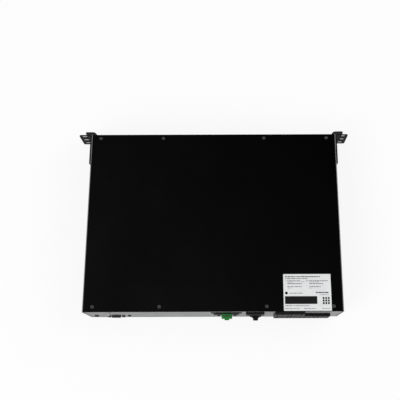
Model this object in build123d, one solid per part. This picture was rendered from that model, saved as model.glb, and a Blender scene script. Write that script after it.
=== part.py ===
from build123d import *
import os

# Rack power supply with battery back-up, two rack units high.
# Millimetres. The front faces -Y, the rear +Y, and +Z is up. The origin is the centre of the underside.

# Case
case_width = 438.0
case_depth = 315.0
case_height = 88.0
cover_sheet = 1.2
tray_sheet = 1.2
panel_sheet = 1.5
fold_radius = 2.0
seat_gap = 0.3
skirt_lift = 0.8
wall_drop = 4.0
flange_depth = 14.0
corner_gap = 0.1

front = -case_depth / 2
rear = case_depth / 2
cover_half = case_width / 2
tray_out = cover_half - cover_sheet - seat_gap
tray_in = tray_out - tray_sheet
panel_half = tray_in - (fold_radius - tray_sheet) - corner_gap
panel_top = case_height - cover_sheet
roof = panel_top - panel_sheet
floor = tray_sheet
front_in = front + panel_sheet
rear_in = rear - panel_sheet

# Screws of the case
small_shaft = 1.45
small_head = 2.6
small_length = 6.5
hole_gap = 0.1
slide_gap = 0.1
cutout_gap = 0.2
cross_length = 3.4
cross_width = 0.7
cross_depth = 0.6
cover_screw_places = (-202.0, -90.0, 90.0, 202.0)
cover_screw_front = 7.0
cover_screw_rear = 8.6
base_screw_places = (-190.0, -70.0, 62.0, 190.0)

# Rack brackets
bracket_sheet = 2.0
bracket_bend = 3.0
lip_bend = 8.0
bracket_length = 55.5
slot_span = 465.1
slot_inset = 8.75
ear_height = 43.66
ear_corner = 3.0
slot_pitch = 15.875
slot_first = 5.95
slot_length = 11.6
slot_height = 7.0
lip_reach = 23.0
lip_inset = 0.3
lip_height = 41.5
bracket_chamfer = 1.5
bracket_screw_inset = 13.0
bracket_screw_pitch = 28.0
bracket_screw_levels = (22.0, 66.0)
bracket_shaft = 1.9
bracket_head = 3.9
bracket_screw_length = 9.0
bracket_nut_width = 7.0
bracket_nut_height = 2.6

# Vents in the sides
vent_width = 3.0
vent_pitch = 6.0
vent_height = 46.0
vent_level = 42.0
intake_count = 14
intake_centre = -10.0
exhaust_count = 10

# Label on the cover
label_width = 80.0
label_depth = 61.5
label_thickness = 0.15
label_centre_x = -158.4
label_edge_gap = 1.0
label_corner = 1.0

# Mains inlet
inlet_x = -70.9
inlet_z = 68.0
inlet_lip_width = 2.0
inlet_lip_height = 2.4
inlet_frame_key = 1.5
inlet_frame_thickness = 3.8
inlet_wall = 1.25
inlet_body_depth = 21.5
inlet_mouth_width = 24.5
inlet_mouth_height = 16.7
inlet_mouth_depth = 17.0
inlet_key = 3.6
blade_spread = 7.0
blade_offset = 2.0
blade_width = 2.0
blade_height = 4.0
blade_recess = 1.5
blade_tab = 8.0

# Breaker
breaker_x = -73.0
breaker_z = 28.0
breaker_width = 14.0
breaker_height = 30.0
breaker_depth = 34.0
neck_radius = 6.0
neck_wall = 1.4
neck_reach = 5.0
neck_bore_depth = 12.0
breaker_nut_wall = 2.3
breaker_nut_height = 3.4
breaker_button_reach = 9.3
breaker_bottom_gap = 1.0
breaker_travel = 3.0
breaker_tab_length = 9.0
breaker_tab_spread = 9.0
breaker_tab_width = 6.0

# Outlets
outlet_pitch_x = 23.0
outlet_pitch_z = 31.5
outlet_proud = 5.0
outlet_body_depth = 27.5
outlet_lip = 0.6
outlet_end_lip = 1.0
outlet_corner = 2.0
outlet_margin = 2.3
ring_key = 4.3
ring_length = 28.4
ring_width = 20.2
island_length = 24.0
island_width = 15.8
island_key = 3.4
ring_depth = 16.0
contact_slot_length = 4.8
contact_slot_width = 2.4
contact_gap = 0.3
contact_tail = 8.0
four_x = -129.4
four_side = 3.25
blocks_low = 21.5
blocks_gap = 0.2
two_side = 1.2
two_rim = 3.5

# Card bay
bay_x = -22.0
bay_width = 53.0
bay_top = 80.0
bay_step = 56.0
bay_foot_width = 38.0
card_plate_width = 43.7
card_plate_sheet = 1.2
card_plate_low = 40.0
card_plate_rim = 3.1
cradle_sheet = 1.2
cradle_overlap = 7.5
cradle_depth = 70.0
cradle_rise = 6.3
board_thickness = 1.6
bump_height = 1.5
bump_radius = 2.5
bump_inset = 5.0
card_board_width = 36.0
card_board_depth = 62.0
card_board_setback = 4.0
plug_x = -23.0
plug_side = 1.38
plug_height = 11.0
plug_reach = 8.7
plug_nose = 8.0
plug_wall = 1.2
plug_gap = 0.3
header_depth = 11.5
header_height = 12.0
tab_width = 8.0
tab_reach = 2.6
tab_height = 4.0
plug_round = 1.5
pole_pitch = 5.08
pole_screw_radius = 1.7
pole_screw_depth = 4.0
pole_screw_inset = 4.5
pole_screw_sink = 1.0
pole_slot_width = 0.6
pole_slot_depth = 0.7
entry_width = 3.0
entry_height = 3.4
entry_lift = 0.9
entry_depth = 7.0
plate_screw_spread = 14.0
plate_screw_drop = 3.1
plate_screw_length = 7.0
plate_screw_head = 2.6
plate_screw_head_height = 1.7

# Rear interface
board_setback = 12.4
interface_margin = 8.0
interface_below = 16.0
interface_above = 18.0
post_inset = 5.0
post_offset = 12.0
interface_z = 32.0
serial_x = 169.7
shell_width = 16.9
shell_height = 8.6
shell_reach = 3.8
shell_wall = 0.5
shell_flange_end = 2.9
shell_flange_edge = 1.95
shell_flange = 0.8
shell_slope = 1.5
insert_gap = 0.1
insert_step = 0.5
insert_back_edge = 1.0
pin_pitch = 2.77
pin_row_gap = 2.84
pin_hole = 0.55
pin_hole_depth = 5.0
jack_screw_spread = 12.5
jack_screw_width = 5.0
jack_screw_reach = 3.4
jack_screw_shaft = 1.4
jack_screw_bore = 1.2
jack_screw_bore_depth = 2.8
jack_screw_tail = 4.0
mute_x = 204.4
mute_radius = 3.75
mute_reach = 2.0
mute_travel = 1.0
collar_extra = 1.3
collar_thickness = 1.2
collar_gap = 0.4
switch_size = 6.0
switch_height = 3.5
plunger_radius = 1.7
plunger_height = 1.1
plunger_gap = 0.3
jack_x = 147.0
jack_radius = 2.75
jack_reach = 1.8
jack_bore = 1.3
jack_bore_depth = 10.0
jack_body_width = 7.0
jack_body_height = 9.0
jack_shoulder = 1.0

# Ground bolt
ground_x = 176.2
ground_z = 74.5
ground_radius = 1.45
ground_reach = 4.6
ground_head_width = 5.5
ground_head_height = 2.0
ground_nut_height = 2.4
ground_washer_radius = 3.3
ground_washer_height = 0.6

# Front
window_x = -20.0
window_z = 52.0
window_width = 62.0
window_height = 26.0
window_lip = 3.0
window_lip_thickness = 1.2
display_margin = 2.0
display_board_left = 11.0
display_board_right = 22.0
display_board_above = 8.0
display_board_below = 6.0
display_post_inset = 4.0
power_offset = 33.0
power_radius = 6.0
power_reach = 2.5
power_travel = 1.5
light_radius = 1.5
light_drop = 3.0
light_pitch = 10.0
light_count = 4
light_reach = 0.4
front_vent_width = 3.0
front_vent_height = 44.0
front_vent_count = 12
front_vent_places = (-140.0, 140.0)
front_vent_z = 46.0

# Batteries
battery_length = 151.0
battery_depth = 94.0
battery_height = 65.0
battery_side = 25.3
battery_front_gap = 22.5
battery_space = 8.0
battery_edge = 2.0
battery_groove = 0.6
battery_groove_width = 1.0
battery_groove_back = 14.0
pad_height = 2.0
pad_width = 20.0
pad_inset = 12.0
pad_end = 5.0
tab_length = 6.3
tab_thickness = 0.8
tab_rise = 6.0
tab_inset = 14.0
tab_drop = 12.0
strap_width = 20.0
strap_sheet = 1.5
strap_gap = 0.3
strap_foot = 14.0
strap_screw_inset = 7.0
strap_nut_width = 5.5
strap_nut_height = 2.4

# Transformer
core_side = 4.5
core_setback = 36.5
core_width = 100.0
core_stack = 50.0
core_height = 76.0
core_leg = 16.0
core_window = 18.0
winding_overhang = 16.0
winding_gap = 0.4
winding_corner = 5.0
clamp_sheet = 1.5
clamp_gap = 0.3
clamp_width = 30.0
clamp_foot = 14.0
clamp_screw_inset = 7.5

# Main board
main_side = 6.0
main_setback = 32.5
main_width = 106.0
main_depth = 200.0
standoff_height = 8.0
standoff_width = 5.5
standoff_inset = 6.0
board_screw_head = 2.8
board_screw_head_height = 1.8
board_screw_length = 4.0
wall_inset = 0.2
sink_length = 100.0
sink_width = 30.0
sink_height = 45.0
sink_base = 4.0
sink_fin = 1.6
sink_fin_count = 6
sink_offsets = (-28.5, 15.0)
sink_back = 25.0
transistor_width = 10.0
transistor_height = 15.0
transistor_thickness = 4.5
transistor_pitch = 24.0
transistor_count = 4
transistor_lead = 4.0
lead_pitch = 2.54
lead_width = 1.0
lead_sheet = 0.8
capacitor_radius = 11.0
capacitor_height = 40.0
capacitor_offset = 42.0
capacitor_pitch = 25.0
capacitor_count = 3
capacitor_back = 78.0
relay_width = 16.0
relay_length = 29.0
relay_height = 20.0
relay_pitch = 20.0
relay_count = 3
relay_corner = 1.0
relay_offset = -41.0
relay_forward = 60.0
choke_radius = 12.0
choke_wire = 5.5
choke_offset = 29.0

# Fan
fan_size = 60.0
fan_depth = 25.0
fan_setback = 52.5
fan_rim = 1.5
fan_hub = 12.5
fan_motor = 12.0
fan_motor_depth = 5.0
fan_strut = 3.0
fan_shaft = 1.5
fan_shaft_gap = 0.05
fan_tip_gap = 1.0
fan_blade_count = 7
fan_blade_thickness = 1.4
fan_blade_chord = 16.0
fan_blade_pitch = 38.0
fan_screw_inset = 5.0
fan_corner = 4.0
fan_side_gap = 1.0

# Leads
lead_radius = 2.0
lead_turn = 6.0
lead_rise = 9.0
lead_pad_offset = 41.0
lead_pads_forward = (13.0, 29.0)
mains_lead_radius = 1.4
mains_pad_forward = 87.0

TOP = (Align.CENTER, Align.CENTER, Align.MAX)
BASE = (Align.CENTER, Align.CENTER, Align.MIN)


# Shared shapes

def block(x0, x1, y0, y1, z0, z1):
    """Box between two corners."""
    return Pos((x0 + x1) / 2, (y0 + y1) / 2, (z0 + z1) / 2) * Box(x1 - x0, y1 - y0, z1 - z0)


def rod_y(radius, y0, y1, x, z):
    """Round bar along Y."""
    return Pos(x, y0, z) * Rot(-90, 0, 0) * Cylinder(radius, y1 - y0, align=BASE)


def rod_x(radius, x0, x1, y, z):
    """Round bar along X."""
    return Pos(x0, y, z) * Rot(0, 90, 0) * Cylinder(radius, x1 - x0, align=BASE)


def rod_z(radius, z0, z1, x, y):
    """Round bar along Z."""
    return Pos(x, y, z0) * Cylinder(radius, z1 - z0, align=BASE)


def along_y(outline, y0, y1, x=0.0, z=0.0):
    """Outline drawn in X and Z, drawn out from y0 to y1."""
    return extrude(Plane(origin=(x, y1, z), x_dir=(1, 0, 0), z_dir=(0, -1, 0)) * outline, y1 - y0)


def group(solids):
    """Like pieces kept together as separate solids."""
    return Compound(children=list(solids))


def cross():
    """Cross recess cut down from the origin."""
    bar = Box(cross_length, cross_width, cross_depth, align=TOP)
    return bar + Rot(0, 0, 90) * bar


def flat_screw(shaft, head, length):
    """Countersunk screw pointing down, with its flush head's top at the origin."""
    depth = head - shaft
    body = Pos(0, 0, -depth) * Cone(shaft, head, depth, align=BASE)
    body += Pos(0, 0, -length) * Cylinder(shaft, length - depth, align=BASE)
    return body - cross()


def flat_hole(shaft, head):
    """Countersunk hole for that screw, wider by the hole gap."""
    depth = head - shaft
    sink = Pos(0, 0, -depth) * Cone(shaft + hole_gap, head + hole_gap, depth, align=BASE)
    return sink + Pos(0, 0, -40) * Cylinder(shaft + hole_gap, 40 - depth / 2, align=BASE)


def pan_screw(shaft, head, head_height, length):
    """Pan head screw pointing down, with the underside of its head at the origin."""
    cap = Cylinder(head, head_height, align=BASE)
    cap = fillet(cap.edges().group_by(Axis.Z)[-1], head_height * 0.4)
    shank = Pos(0, 0, -length) * Cylinder(shaft, length, align=BASE)
    return cap + shank - Pos(0, 0, head_height) * cross()


def hex_bar(width, height):
    """Hexagonal bar standing on the origin."""
    return extrude(RegularPolygon(width / 2, 6, major_radius=False), height)


def keyed(length, width, key):
    """Connector outline with two corners cut on one long side."""
    x = length / 2
    z = width / 2
    points = [(-x, -z), (x, -z), (x, z - key), (x - key, z), (key - x, z), (-x, z - key)]
    face = make_face(Polyline(*points, close=True))
    return fillet(face.vertices().group_by(Axis.Y)[0], 1.0)


def serial_outline(width, height):
    """D outline, wider at its top."""
    x = width / 2
    z = height / 2
    points = [(shell_slope - x, -z), (x - shell_slope, -z), (x, z), (-x, z)]
    face = make_face(Polyline(*points, close=True))
    return fillet(face.vertices(), 1.5)


def to_side(side, x, y, z):
    """Turns a piece that points down so that it points inwards from one side of the case."""
    return Pos(side * x, y, z) * Rot(0, 90 * side, 0)


def from_below(x, y):
    """Turns a piece that points down so that it points up from the underside."""
    return Pos(x, y, 0) * Rot(180, 0, 0)


# Sizes that follow from the ones above

ear_span = slot_span + 2 * slot_inset
lip_span = ear_span - 2 * lip_inset
inlet_body_width = inlet_mouth_width + 2 * inlet_wall
inlet_body_height = inlet_mouth_height + 2 * inlet_wall
inlet_frame_width = inlet_body_width + 2 * inlet_lip_width
inlet_frame_height = inlet_body_height + 2 * inlet_lip_height
breaker_button_radius = neck_radius - neck_wall - slide_gap
breaker_button_tail = neck_bore_depth - breaker_travel - breaker_bottom_gap
breaker_nut_width = 2 * (neck_radius + hole_gap + breaker_nut_wall)
four_width = outlet_pitch_x + ring_width + 2 * four_side
four_height = outlet_pitch_z + ring_length + 2 * outlet_margin
two_width = outlet_pitch_x + ring_width + 2 * two_side
two_height = ring_length + 2 * outlet_margin + two_rim
two_x = four_x - four_width / 2 - blocks_gap - two_width / 2
outlet_row_low = blocks_low + outlet_margin + ring_length / 2
cradle_level = card_plate_low + cradle_rise
cradle_top = cradle_level + cradle_sheet
plate_screw_z = cradle_level - plate_screw_drop
card_board_low = cradle_top + bump_height
card_board_high = card_board_low + board_thickness
plug_width = 3 * pole_pitch + 2 * plug_side
plug_low = card_board_high + plug_gap
plug_high = plug_low + plug_height
rear_board = rear_in - board_setback
front_board = front_in + board_setback
interface_left = mute_x + interface_margin
interface_right = jack_x - interface_margin
interface_low = interface_z - interface_below
interface_high = interface_z + interface_above
post_places = [(x, interface_high - post_inset) for x in (interface_right + post_inset, mute_x - post_offset)]
power_x = window_x + window_width / 2 + power_offset
power_z = window_z
light_z = window_z - window_height / 2 - window_lip - light_drop
display_board_x0 = window_x - window_width / 2 - display_board_left
display_board_x1 = power_x + display_board_right
display_board_z0 = light_z - display_board_below
display_board_z1 = window_z + window_height / 2 + display_board_above
battery_x = tray_in - battery_side - battery_length / 2
core_x = core_side + clamp_foot + clamp_sheet + clamp_gap + core_width / 2 - tray_in
core_y = front + core_setback + winding_overhang + core_stack / 2
main_x = core_x + core_width / 2 + main_side + main_width / 2
main_y = front + main_setback + main_depth / 2
sink_y = main_y - sink_back
sink_places = [main_x + offset for offset in sink_offsets]
on_board_y = main_y + relay_forward
lead_pad_x = main_x + lead_pad_offset
mains_pad_y = main_y + mains_pad_forward
fan_y = rear - fan_setback
fan_z = vent_level
fan_bore = fan_size / 2 - fan_rim


# Places that several pieces share

bracket_screw_ys = [front + bracket_screw_inset, front + bracket_screw_inset + bracket_screw_pitch]
bracket_screws_at = [(y, z) for y in bracket_screw_ys for z in bracket_screw_levels]
panel_screw_ys = (front + flange_depth / 2, rear - flange_depth / 2)
battery_front = front + battery_front_gap
battery_ys = [battery_front + n * (battery_depth + battery_space) for n in range(2)]
battery_low = floor + pad_height
battery_top = battery_low + battery_height
strap_half = battery_length / 2 + strap_gap + strap_sheet
strap_screw_x = strap_half + strap_foot - strap_screw_inset
strap_points = [
    (battery_x + side * strap_screw_x, y + battery_depth / 2)
    for y in battery_ys
    for side in (-1, 1)
]
clamp_half = core_width / 2 + clamp_gap + clamp_sheet
clamp_screw_x = clamp_half + clamp_foot - clamp_screw_inset
clamp_points = [
    (core_x + side * clamp_screw_x, core_y + way * clamp_screw_inset)
    for side in (-1, 1)
    for way in (-1, 1)
]
standoff_points = [
    (main_x + side * (main_width / 2 - standoff_inset), main_y + way * (main_depth / 2 - standoff_inset))
    for side in (-1, 1)
    for way in (-1, 0, 1)
]
main_low = floor + standoff_height
main_high = main_low + board_thickness
nut_points = [(x, y, floor + strap_sheet) for x, y in strap_points]
nut_points += [(x, y, floor + clamp_sheet) for x, y in clamp_points]
fan_corner_reach = fan_size / 2 - fan_screw_inset
fan_screw_points = [
    (fan_y + way * fan_corner_reach, fan_z + rise * fan_corner_reach)
    for way in (-1, 1)
    for rise in (-1, 1)
]
four_cells = [
    (four_x + side * outlet_pitch_x / 2, outlet_row_low + row * outlet_pitch_z)
    for side in (-1, 1)
    for row in (0, 1)
]
two_cells = [(two_x + side * outlet_pitch_x / 2, outlet_row_low) for side in (-1, 1)]
display_posts = [
    (x, z)
    for x in (display_board_x0 + display_post_inset, display_board_x1 - display_post_inset)
    for z in (display_board_z0 + display_post_inset, display_board_z1 - display_post_inset)
]
jack_screw_xs = (serial_x - jack_screw_spread, serial_x + jack_screw_spread)
pole_xs = [plug_x + n * pole_pitch for n in (-1, 0, 1)]
plate_screw_xs = (plug_x - plate_screw_spread, plug_x + plate_screw_spread)
light_xs = [window_x + (n - (light_count - 1) / 2) * light_pitch for n in range(light_count)]


# Case

def vents(side):
    """Upright slots through the skirt and the tray's wall on one side."""
    count = exhaust_count if side > 0 else intake_count
    centre = fan_y if side > 0 else intake_centre
    cuts = []
    for n in range(count):
        y = centre + (n - (count - 1) / 2) * vent_pitch
        slot = SlotOverall(vent_height, vent_width, rotation=90)
        bar = extrude(Plane(origin=(tray_in - 2, y, vent_level), x_dir=(0, 1, 0), z_dir=(1, 0, 0)) * slot, 8)
        cuts.append(bar if side > 0 else mirror(bar, Plane.YZ))
    return cuts


def top_cover():
    """One black sheet folded down at both sides."""
    body = block(-cover_half, cover_half, front, rear, skirt_lift, case_height)
    body = fillet(body.edges().filter_by(Axis.Y).group_by(Axis.Z)[-1], fold_radius)
    inside = cover_half - cover_sheet
    hollow = block(-inside, inside, front - 1, rear + 1, -1, panel_top)
    hollow = fillet(hollow.edges().filter_by(Axis.Y).group_by(Axis.Z)[-1], fold_radius - cover_sheet)
    body -= hollow
    for x, y in cover_screw_points():
        body -= Pos(x, y, case_height) * flat_hole(small_shaft, small_head)
    for side in (-1, 1):
        for y, z in bracket_screws_at:
            body -= to_side(side, cover_half + 5, y, z) * Cylinder(bracket_shaft + hole_gap, 20)
        for slot in vents(side):
            body -= slot
    return body


def cover_screw_points():
    """Four screws along the front edge and four along the rear edge."""
    rows = (front + cover_screw_front, rear - cover_screw_rear)
    return [(x, y) for y in rows for x in cover_screw_places]


def case_screws():
    """Flush cross-head screws: down through the cover, and up through the floor."""
    screw = flat_screw(small_shaft, small_head, small_length)
    above = [Pos(x, y, case_height) * screw for x, y in cover_screw_points()]
    return group(above + [from_below(x, y) * screw for x, y in base_screw_points()])


def base_tray():
    """Zinc-plated floor and side walls folded from one sheet."""
    high = case_height - wall_drop
    body = block(-tray_out, tray_out, front, rear, 0, high)
    body = fillet(body.edges().filter_by(Axis.Y).group_by(Axis.Z)[0], fold_radius)
    hollow = block(-tray_in, tray_in, front - 1, rear + 1, floor, high + 1)
    hollow = fillet(hollow.edges().filter_by(Axis.Y).group_by(Axis.Z)[0], fold_radius - tray_sheet)
    body -= hollow
    for x, y in base_screw_points():
        body -= from_below(x, y) * flat_hole(small_shaft, small_head)
    for side in (-1, 1):
        for y, z in bracket_screws_at:
            body -= to_side(side, tray_out + 2, y, z) * Cylinder(bracket_shaft + hole_gap, 20)
        for slot in vents(side):
            body -= slot
    for y, z in fan_screw_points:
        body -= rod_x(small_shaft + hole_gap, tray_in - 1, tray_out + 1, y, z)
    return body


def base_screw_points():
    """Screws up through the floor: panels, straps, clamp and standoffs."""
    along_panels = [(x, y) for y in panel_screw_ys for x in base_screw_places]
    return along_panels + strap_points + clamp_points + standoff_points


def folded_panel(face, way):
    """Panel with a flange turned inwards along its top and its foot. way points inwards."""
    y0, y1 = sorted((face, face + way * flange_depth))
    body = block(-panel_half, panel_half, y0, y1, floor, panel_top)
    outer = body.edges().filter_by(Axis.X).group_by(Axis.Y)[0 if way > 0 else -1]
    body = fillet(outer, fold_radius)
    h0, h1 = sorted((face + way * panel_sheet, face + way * (flange_depth + 1)))
    hollow = block(-panel_half - 1, panel_half + 1, h0, h1, floor + panel_sheet, roof)
    inner = hollow.edges().filter_by(Axis.X).group_by(Axis.Y)[0 if way > 0 else -1]
    body -= fillet(inner, fold_radius - panel_sheet)
    middle = face + way * flange_depth / 2
    for x in base_screw_places:
        body -= rod_z(small_shaft + hole_gap, 0, 5, x, middle)
    hole_y = face + way * (cover_screw_front if way > 0 else cover_screw_rear)
    for x in cover_screw_places:
        body -= rod_z(small_shaft + hole_gap, roof - 1, panel_top + 1, x, hole_y)
    return body


def through_rear(outline, x, z):
    """Cutter for an opening in the rear panel."""
    return along_y(outline, rear_in - 1, rear + 1, x, z)


def rear_panel():
    """Zinc-plated rear panel with its openings."""
    body = folded_panel(rear, -1)
    side = cutout_gap - 2 * outlet_lip
    end = cutout_gap - 2 * outlet_end_lip
    four = Rectangle(four_width + side, four_height + end)
    body -= through_rear(four, four_x, blocks_low + four_height / 2)
    two = Rectangle(two_width + side, two_height + end)
    body -= through_rear(two, two_x, blocks_low + two_height / 2)
    inlet = Rectangle(inlet_body_width + 2 * cutout_gap, inlet_body_height + 2 * cutout_gap)
    body -= through_rear(inlet, inlet_x, inlet_z)
    for width, low in ((bay_width, bay_step), (bay_foot_width, cradle_level)):
        body -= through_rear(Rectangle(width, bay_top - low), bay_x, (bay_top + low) / 2)
    for x in plate_screw_xs:
        body -= through_rear(Circle(small_shaft + hole_gap), x, plate_screw_z)
    shell = serial_outline(shell_width + 2 * cutout_gap, shell_height + 2 * cutout_gap)
    body -= through_rear(shell, serial_x, interface_z)
    body -= through_rear(Circle(neck_radius + cutout_gap), breaker_x, breaker_z)
    body -= through_rear(Circle(mute_radius + slide_gap), mute_x, interface_z)
    body -= through_rear(Circle(jack_radius + cutout_gap), jack_x, interface_z)
    body -= through_rear(Circle(ground_radius + cutout_gap), ground_x, ground_z)
    for x in jack_screw_xs:
        body -= through_rear(Circle(jack_screw_shaft + cutout_gap), x, interface_z)
    return body


def front_panel():
    """Black front panel with its openings and vents."""
    body = folded_panel(front, 1)
    y0 = front - 1
    y1 = front_in + 1
    body -= along_y(Rectangle(window_width, window_height), y0, y1, window_x, window_z)
    body -= rod_y(power_radius + slide_gap, y0, y1, power_x, power_z)
    for x in light_xs:
        body -= rod_y(light_radius + cutout_gap, y0, y1, x, light_z)
    slot = SlotOverall(front_vent_height, front_vent_width, rotation=90)
    for centre in front_vent_places:
        for n in range(front_vent_count):
            x = centre + (n - (front_vent_count - 1) / 2) * vent_pitch
            body -= along_y(slot, y0, y1, x, front_vent_z)
    return body


# Rack brackets

def bracket_angle(y, span, z0, z1, bend):
    """Side flange with a leaf turned outwards at y in a bend of that radius, between two levels."""
    out = cover_half + bracket_sheet
    flange = block(cover_half, out, y, front + bracket_length, z0, z1)
    leaf = block(cover_half, span / 2, y, y + bracket_sheet, z0, z1)
    body = flange + leaf
    uprights = body.edges().filter_by(Axis.Z)
    inner = uprights.filter_by_position(Axis.X, out - 0.01, out + 0.01).group_by(Axis.Y)[0]
    body = fillet(inner, bend - bracket_sheet)
    uprights = body.edges().filter_by(Axis.Z)
    outer = uprights.filter_by_position(Axis.X, cover_half - 0.01, cover_half + 0.01).group_by(Axis.Y)[0]
    body = fillet(outer, bend)
    ends = body.edges().filter_by(Axis.Y).group_by(Axis.X)[-1]
    return fillet(ends, ear_corner)


def rack_bracket(side):
    """One folded black sheet: flange on the case, slotted ear above, pull lip below."""
    out = cover_half + bracket_sheet
    ear_low = case_height - ear_height
    lip_top = skirt_lift + lip_height
    body = block(cover_half, out, front + bracket_bend + 1, front + bracket_length, skirt_lift, case_height)
    body += bracket_angle(front, ear_span, ear_low, case_height, bracket_bend)
    body += bracket_angle(front - lip_reach, lip_span, skirt_lift, lip_top, lip_bend)
    rear_end = body.edges().filter_by(Axis.Z).group_by(Axis.Y)[-1]
    body = chamfer(rear_end.group_by(Axis.X)[-1], bracket_chamfer)
    for n in range(3):
        z = case_height - slot_first - n * slot_pitch
        slot = SlotOverall(slot_length, slot_height)
        body -= along_y(slot, front - 1, front + bracket_sheet + 1, slot_span / 2, z)
    for y, z in bracket_screws_at:
        body -= to_side(1, out, y, z) * flat_hole(bracket_shaft, bracket_head)
    return body if side > 0 else mirror(body, Plane.YZ)


def bracket_screws():
    """Flush screws that hold both brackets to the case."""
    out = cover_half + bracket_sheet
    screw = flat_screw(bracket_shaft, bracket_head, bracket_screw_length)
    return group(to_side(side, out, y, z) * screw for side in (-1, 1) for y, z in bracket_screws_at)


def case_nuts():
    """Nuts inside the tray's walls, and over the feet of the straps and the clamp."""
    nut = hex_bar(bracket_nut_width, bracket_nut_height) - Cylinder(bracket_shaft + hole_gap, 20)
    low = tray_in - bracket_nut_height
    nuts = [to_side(side, low, y, z) * nut for side in (-1, 1) for y, z in bracket_screws_at]
    small = hex_bar(strap_nut_width, strap_nut_height) - Cylinder(small_shaft + hole_gap, 20)
    return group(nuts + [Pos(x, y, z) * small for x, y, z in nut_points])


def rating_label():
    """White label on the cover, left blank."""
    y = rear - label_edge_gap - label_depth / 2
    sheet = RectangleRounded(label_width, label_depth, label_corner)
    return extrude(Pos(label_centre_x, y, case_height) * sheet, label_thickness)


# Mains inlet and breaker

def blade_places():
    """Two live blades and the offset earth blade."""
    return [(-blade_spread, -blade_offset), (blade_spread, -blade_offset), (0, blade_offset)]


def mains_inlet():
    """Black moulded inlet with a keyed mouth."""
    face = rear + inlet_frame_thickness
    frame = keyed(inlet_frame_width, inlet_frame_height, inlet_frame_key)
    body = along_y(frame, rear, face, inlet_x, inlet_z)
    back = rear - inlet_body_depth
    body += along_y(Rectangle(inlet_body_width, inlet_body_height), back, rear, inlet_x, inlet_z)
    mouth = keyed(inlet_mouth_width, inlet_mouth_height, inlet_key)
    body -= along_y(mouth, face - inlet_mouth_depth, face + 1, inlet_x, inlet_z)
    for x, z in blade_places():
        hole = Rectangle(blade_width, blade_height)
        body -= along_y(hole, back - 1, face, inlet_x + x, inlet_z + z)
    return body


def inlet_blades():
    """Three plated blades with tabs behind the moulding."""
    tip = rear + inlet_frame_thickness - blade_recess
    tail = rear - inlet_body_depth - blade_tab
    return group(
        along_y(Rectangle(blade_width, blade_height), tail, tip, inlet_x + x, inlet_z + z)
        for x, z in blade_places()
    )


def breaker_body():
    """Thermal breaker: box behind the panel and a bored neck through it."""
    y0 = rear_in - breaker_depth
    w = breaker_width / 2
    h = breaker_height / 2
    body = block(breaker_x - w, breaker_x + w, y0, rear_in, breaker_z - h, breaker_z + h)
    body = fillet(body.edges().filter_by(Axis.Y), 1.0)
    tip = rear + neck_reach
    body += rod_y(neck_radius, rear_in, tip, breaker_x, breaker_z)
    bore = breaker_button_radius + slide_gap
    return body - rod_y(bore, rear - neck_bore_depth, tip + 1, breaker_x, breaker_z)


def breaker_nut():
    """Ring nut that clamps the breaker to the panel."""
    tip = rear + breaker_nut_height
    nut = Pos(breaker_x, rear, breaker_z) * Rot(-90, 0, 0) * hex_bar(breaker_nut_width, breaker_nut_height)
    return nut - rod_y(neck_radius + hole_gap, rear - 1, tip + 1, breaker_x, breaker_z)


def breaker_button():
    """Black push-to-reset button."""
    tail = rear - breaker_button_tail
    bar = rod_y(breaker_button_radius, tail, rear + breaker_button_reach, breaker_x, breaker_z)
    return fillet(bar.edges().group_by(Axis.Y)[-1], breaker_button_radius * 0.25)


def breaker_tabs():
    """Two brass tabs at the back of the breaker."""
    y1 = rear_in - breaker_depth
    half = breaker_tab_width / 2
    thick = tab_thickness / 2
    return group(
        block(breaker_x - half, breaker_x + half, y1 - breaker_tab_length, y1, z - thick, z + thick)
        for z in (breaker_z - breaker_tab_spread, breaker_z + breaker_tab_spread)
    )


# Outlets

def contact_places():
    """Three contacts of an upright outlet, about its centre."""
    return [(blade_offset, -blade_spread), (blade_offset, blade_spread), (-blade_offset, 0)]


def outlet_block(x, width, height, cells):
    """Black moulding with upright keyed sockets."""
    z = blocks_low + height / 2
    face = rear + outlet_proud
    body = along_y(RectangleRounded(width, height, outlet_corner), rear, face, x, z)
    back = Rectangle(width - 2 * outlet_lip, height - 2 * outlet_end_lip)
    body += along_y(back, rear - outlet_body_depth, rear, x, z)
    ring = Rot(0, 0, 90) * keyed(ring_length, ring_width, ring_key)
    island = Rot(0, 0, 90) * keyed(island_length, island_width, island_key)
    slot = Rectangle(contact_slot_length, contact_slot_width)
    for cx, cz in cells:
        body -= along_y(ring - island, face - ring_depth, face + 1, cx, cz)
        for dx, dz in contact_places():
            body -= along_y(slot, rear - outlet_body_depth - 1, face + 1, cx + dx, cz + dz)
    return body


def outlet_contacts(cells):
    """Brass contacts in the sockets, with tails behind the moulding."""
    tip = rear + outlet_proud - ring_depth
    tail = rear - outlet_body_depth - contact_tail
    bar = Rectangle(contact_slot_length - 2 * contact_gap, contact_slot_width - 2 * contact_gap)
    return group(
        along_y(bar, tail, tip, cx + dx, cz + dz) for cx, cz in cells for dx, dz in contact_places()
    )


# Card bay

def card_plate():
    """Black face of the card, on the panel over the lower part of the bay."""
    half = card_plate_width / 2
    face = rear + card_plate_sheet
    hole_top = plug_high + plug_gap
    body = block(bay_x - half, bay_x + half, rear, face, card_plate_low, hole_top + card_plate_rim)
    w = plug_width / 2 + plug_gap
    body -= block(plug_x - w, plug_x + w, rear - 1, face + 1, plug_low - plug_gap, hole_top)
    for x in plate_screw_xs:
        body -= rod_y(small_shaft + hole_gap, rear - 1, face + 1, x, plate_screw_z)
    return body


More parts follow.
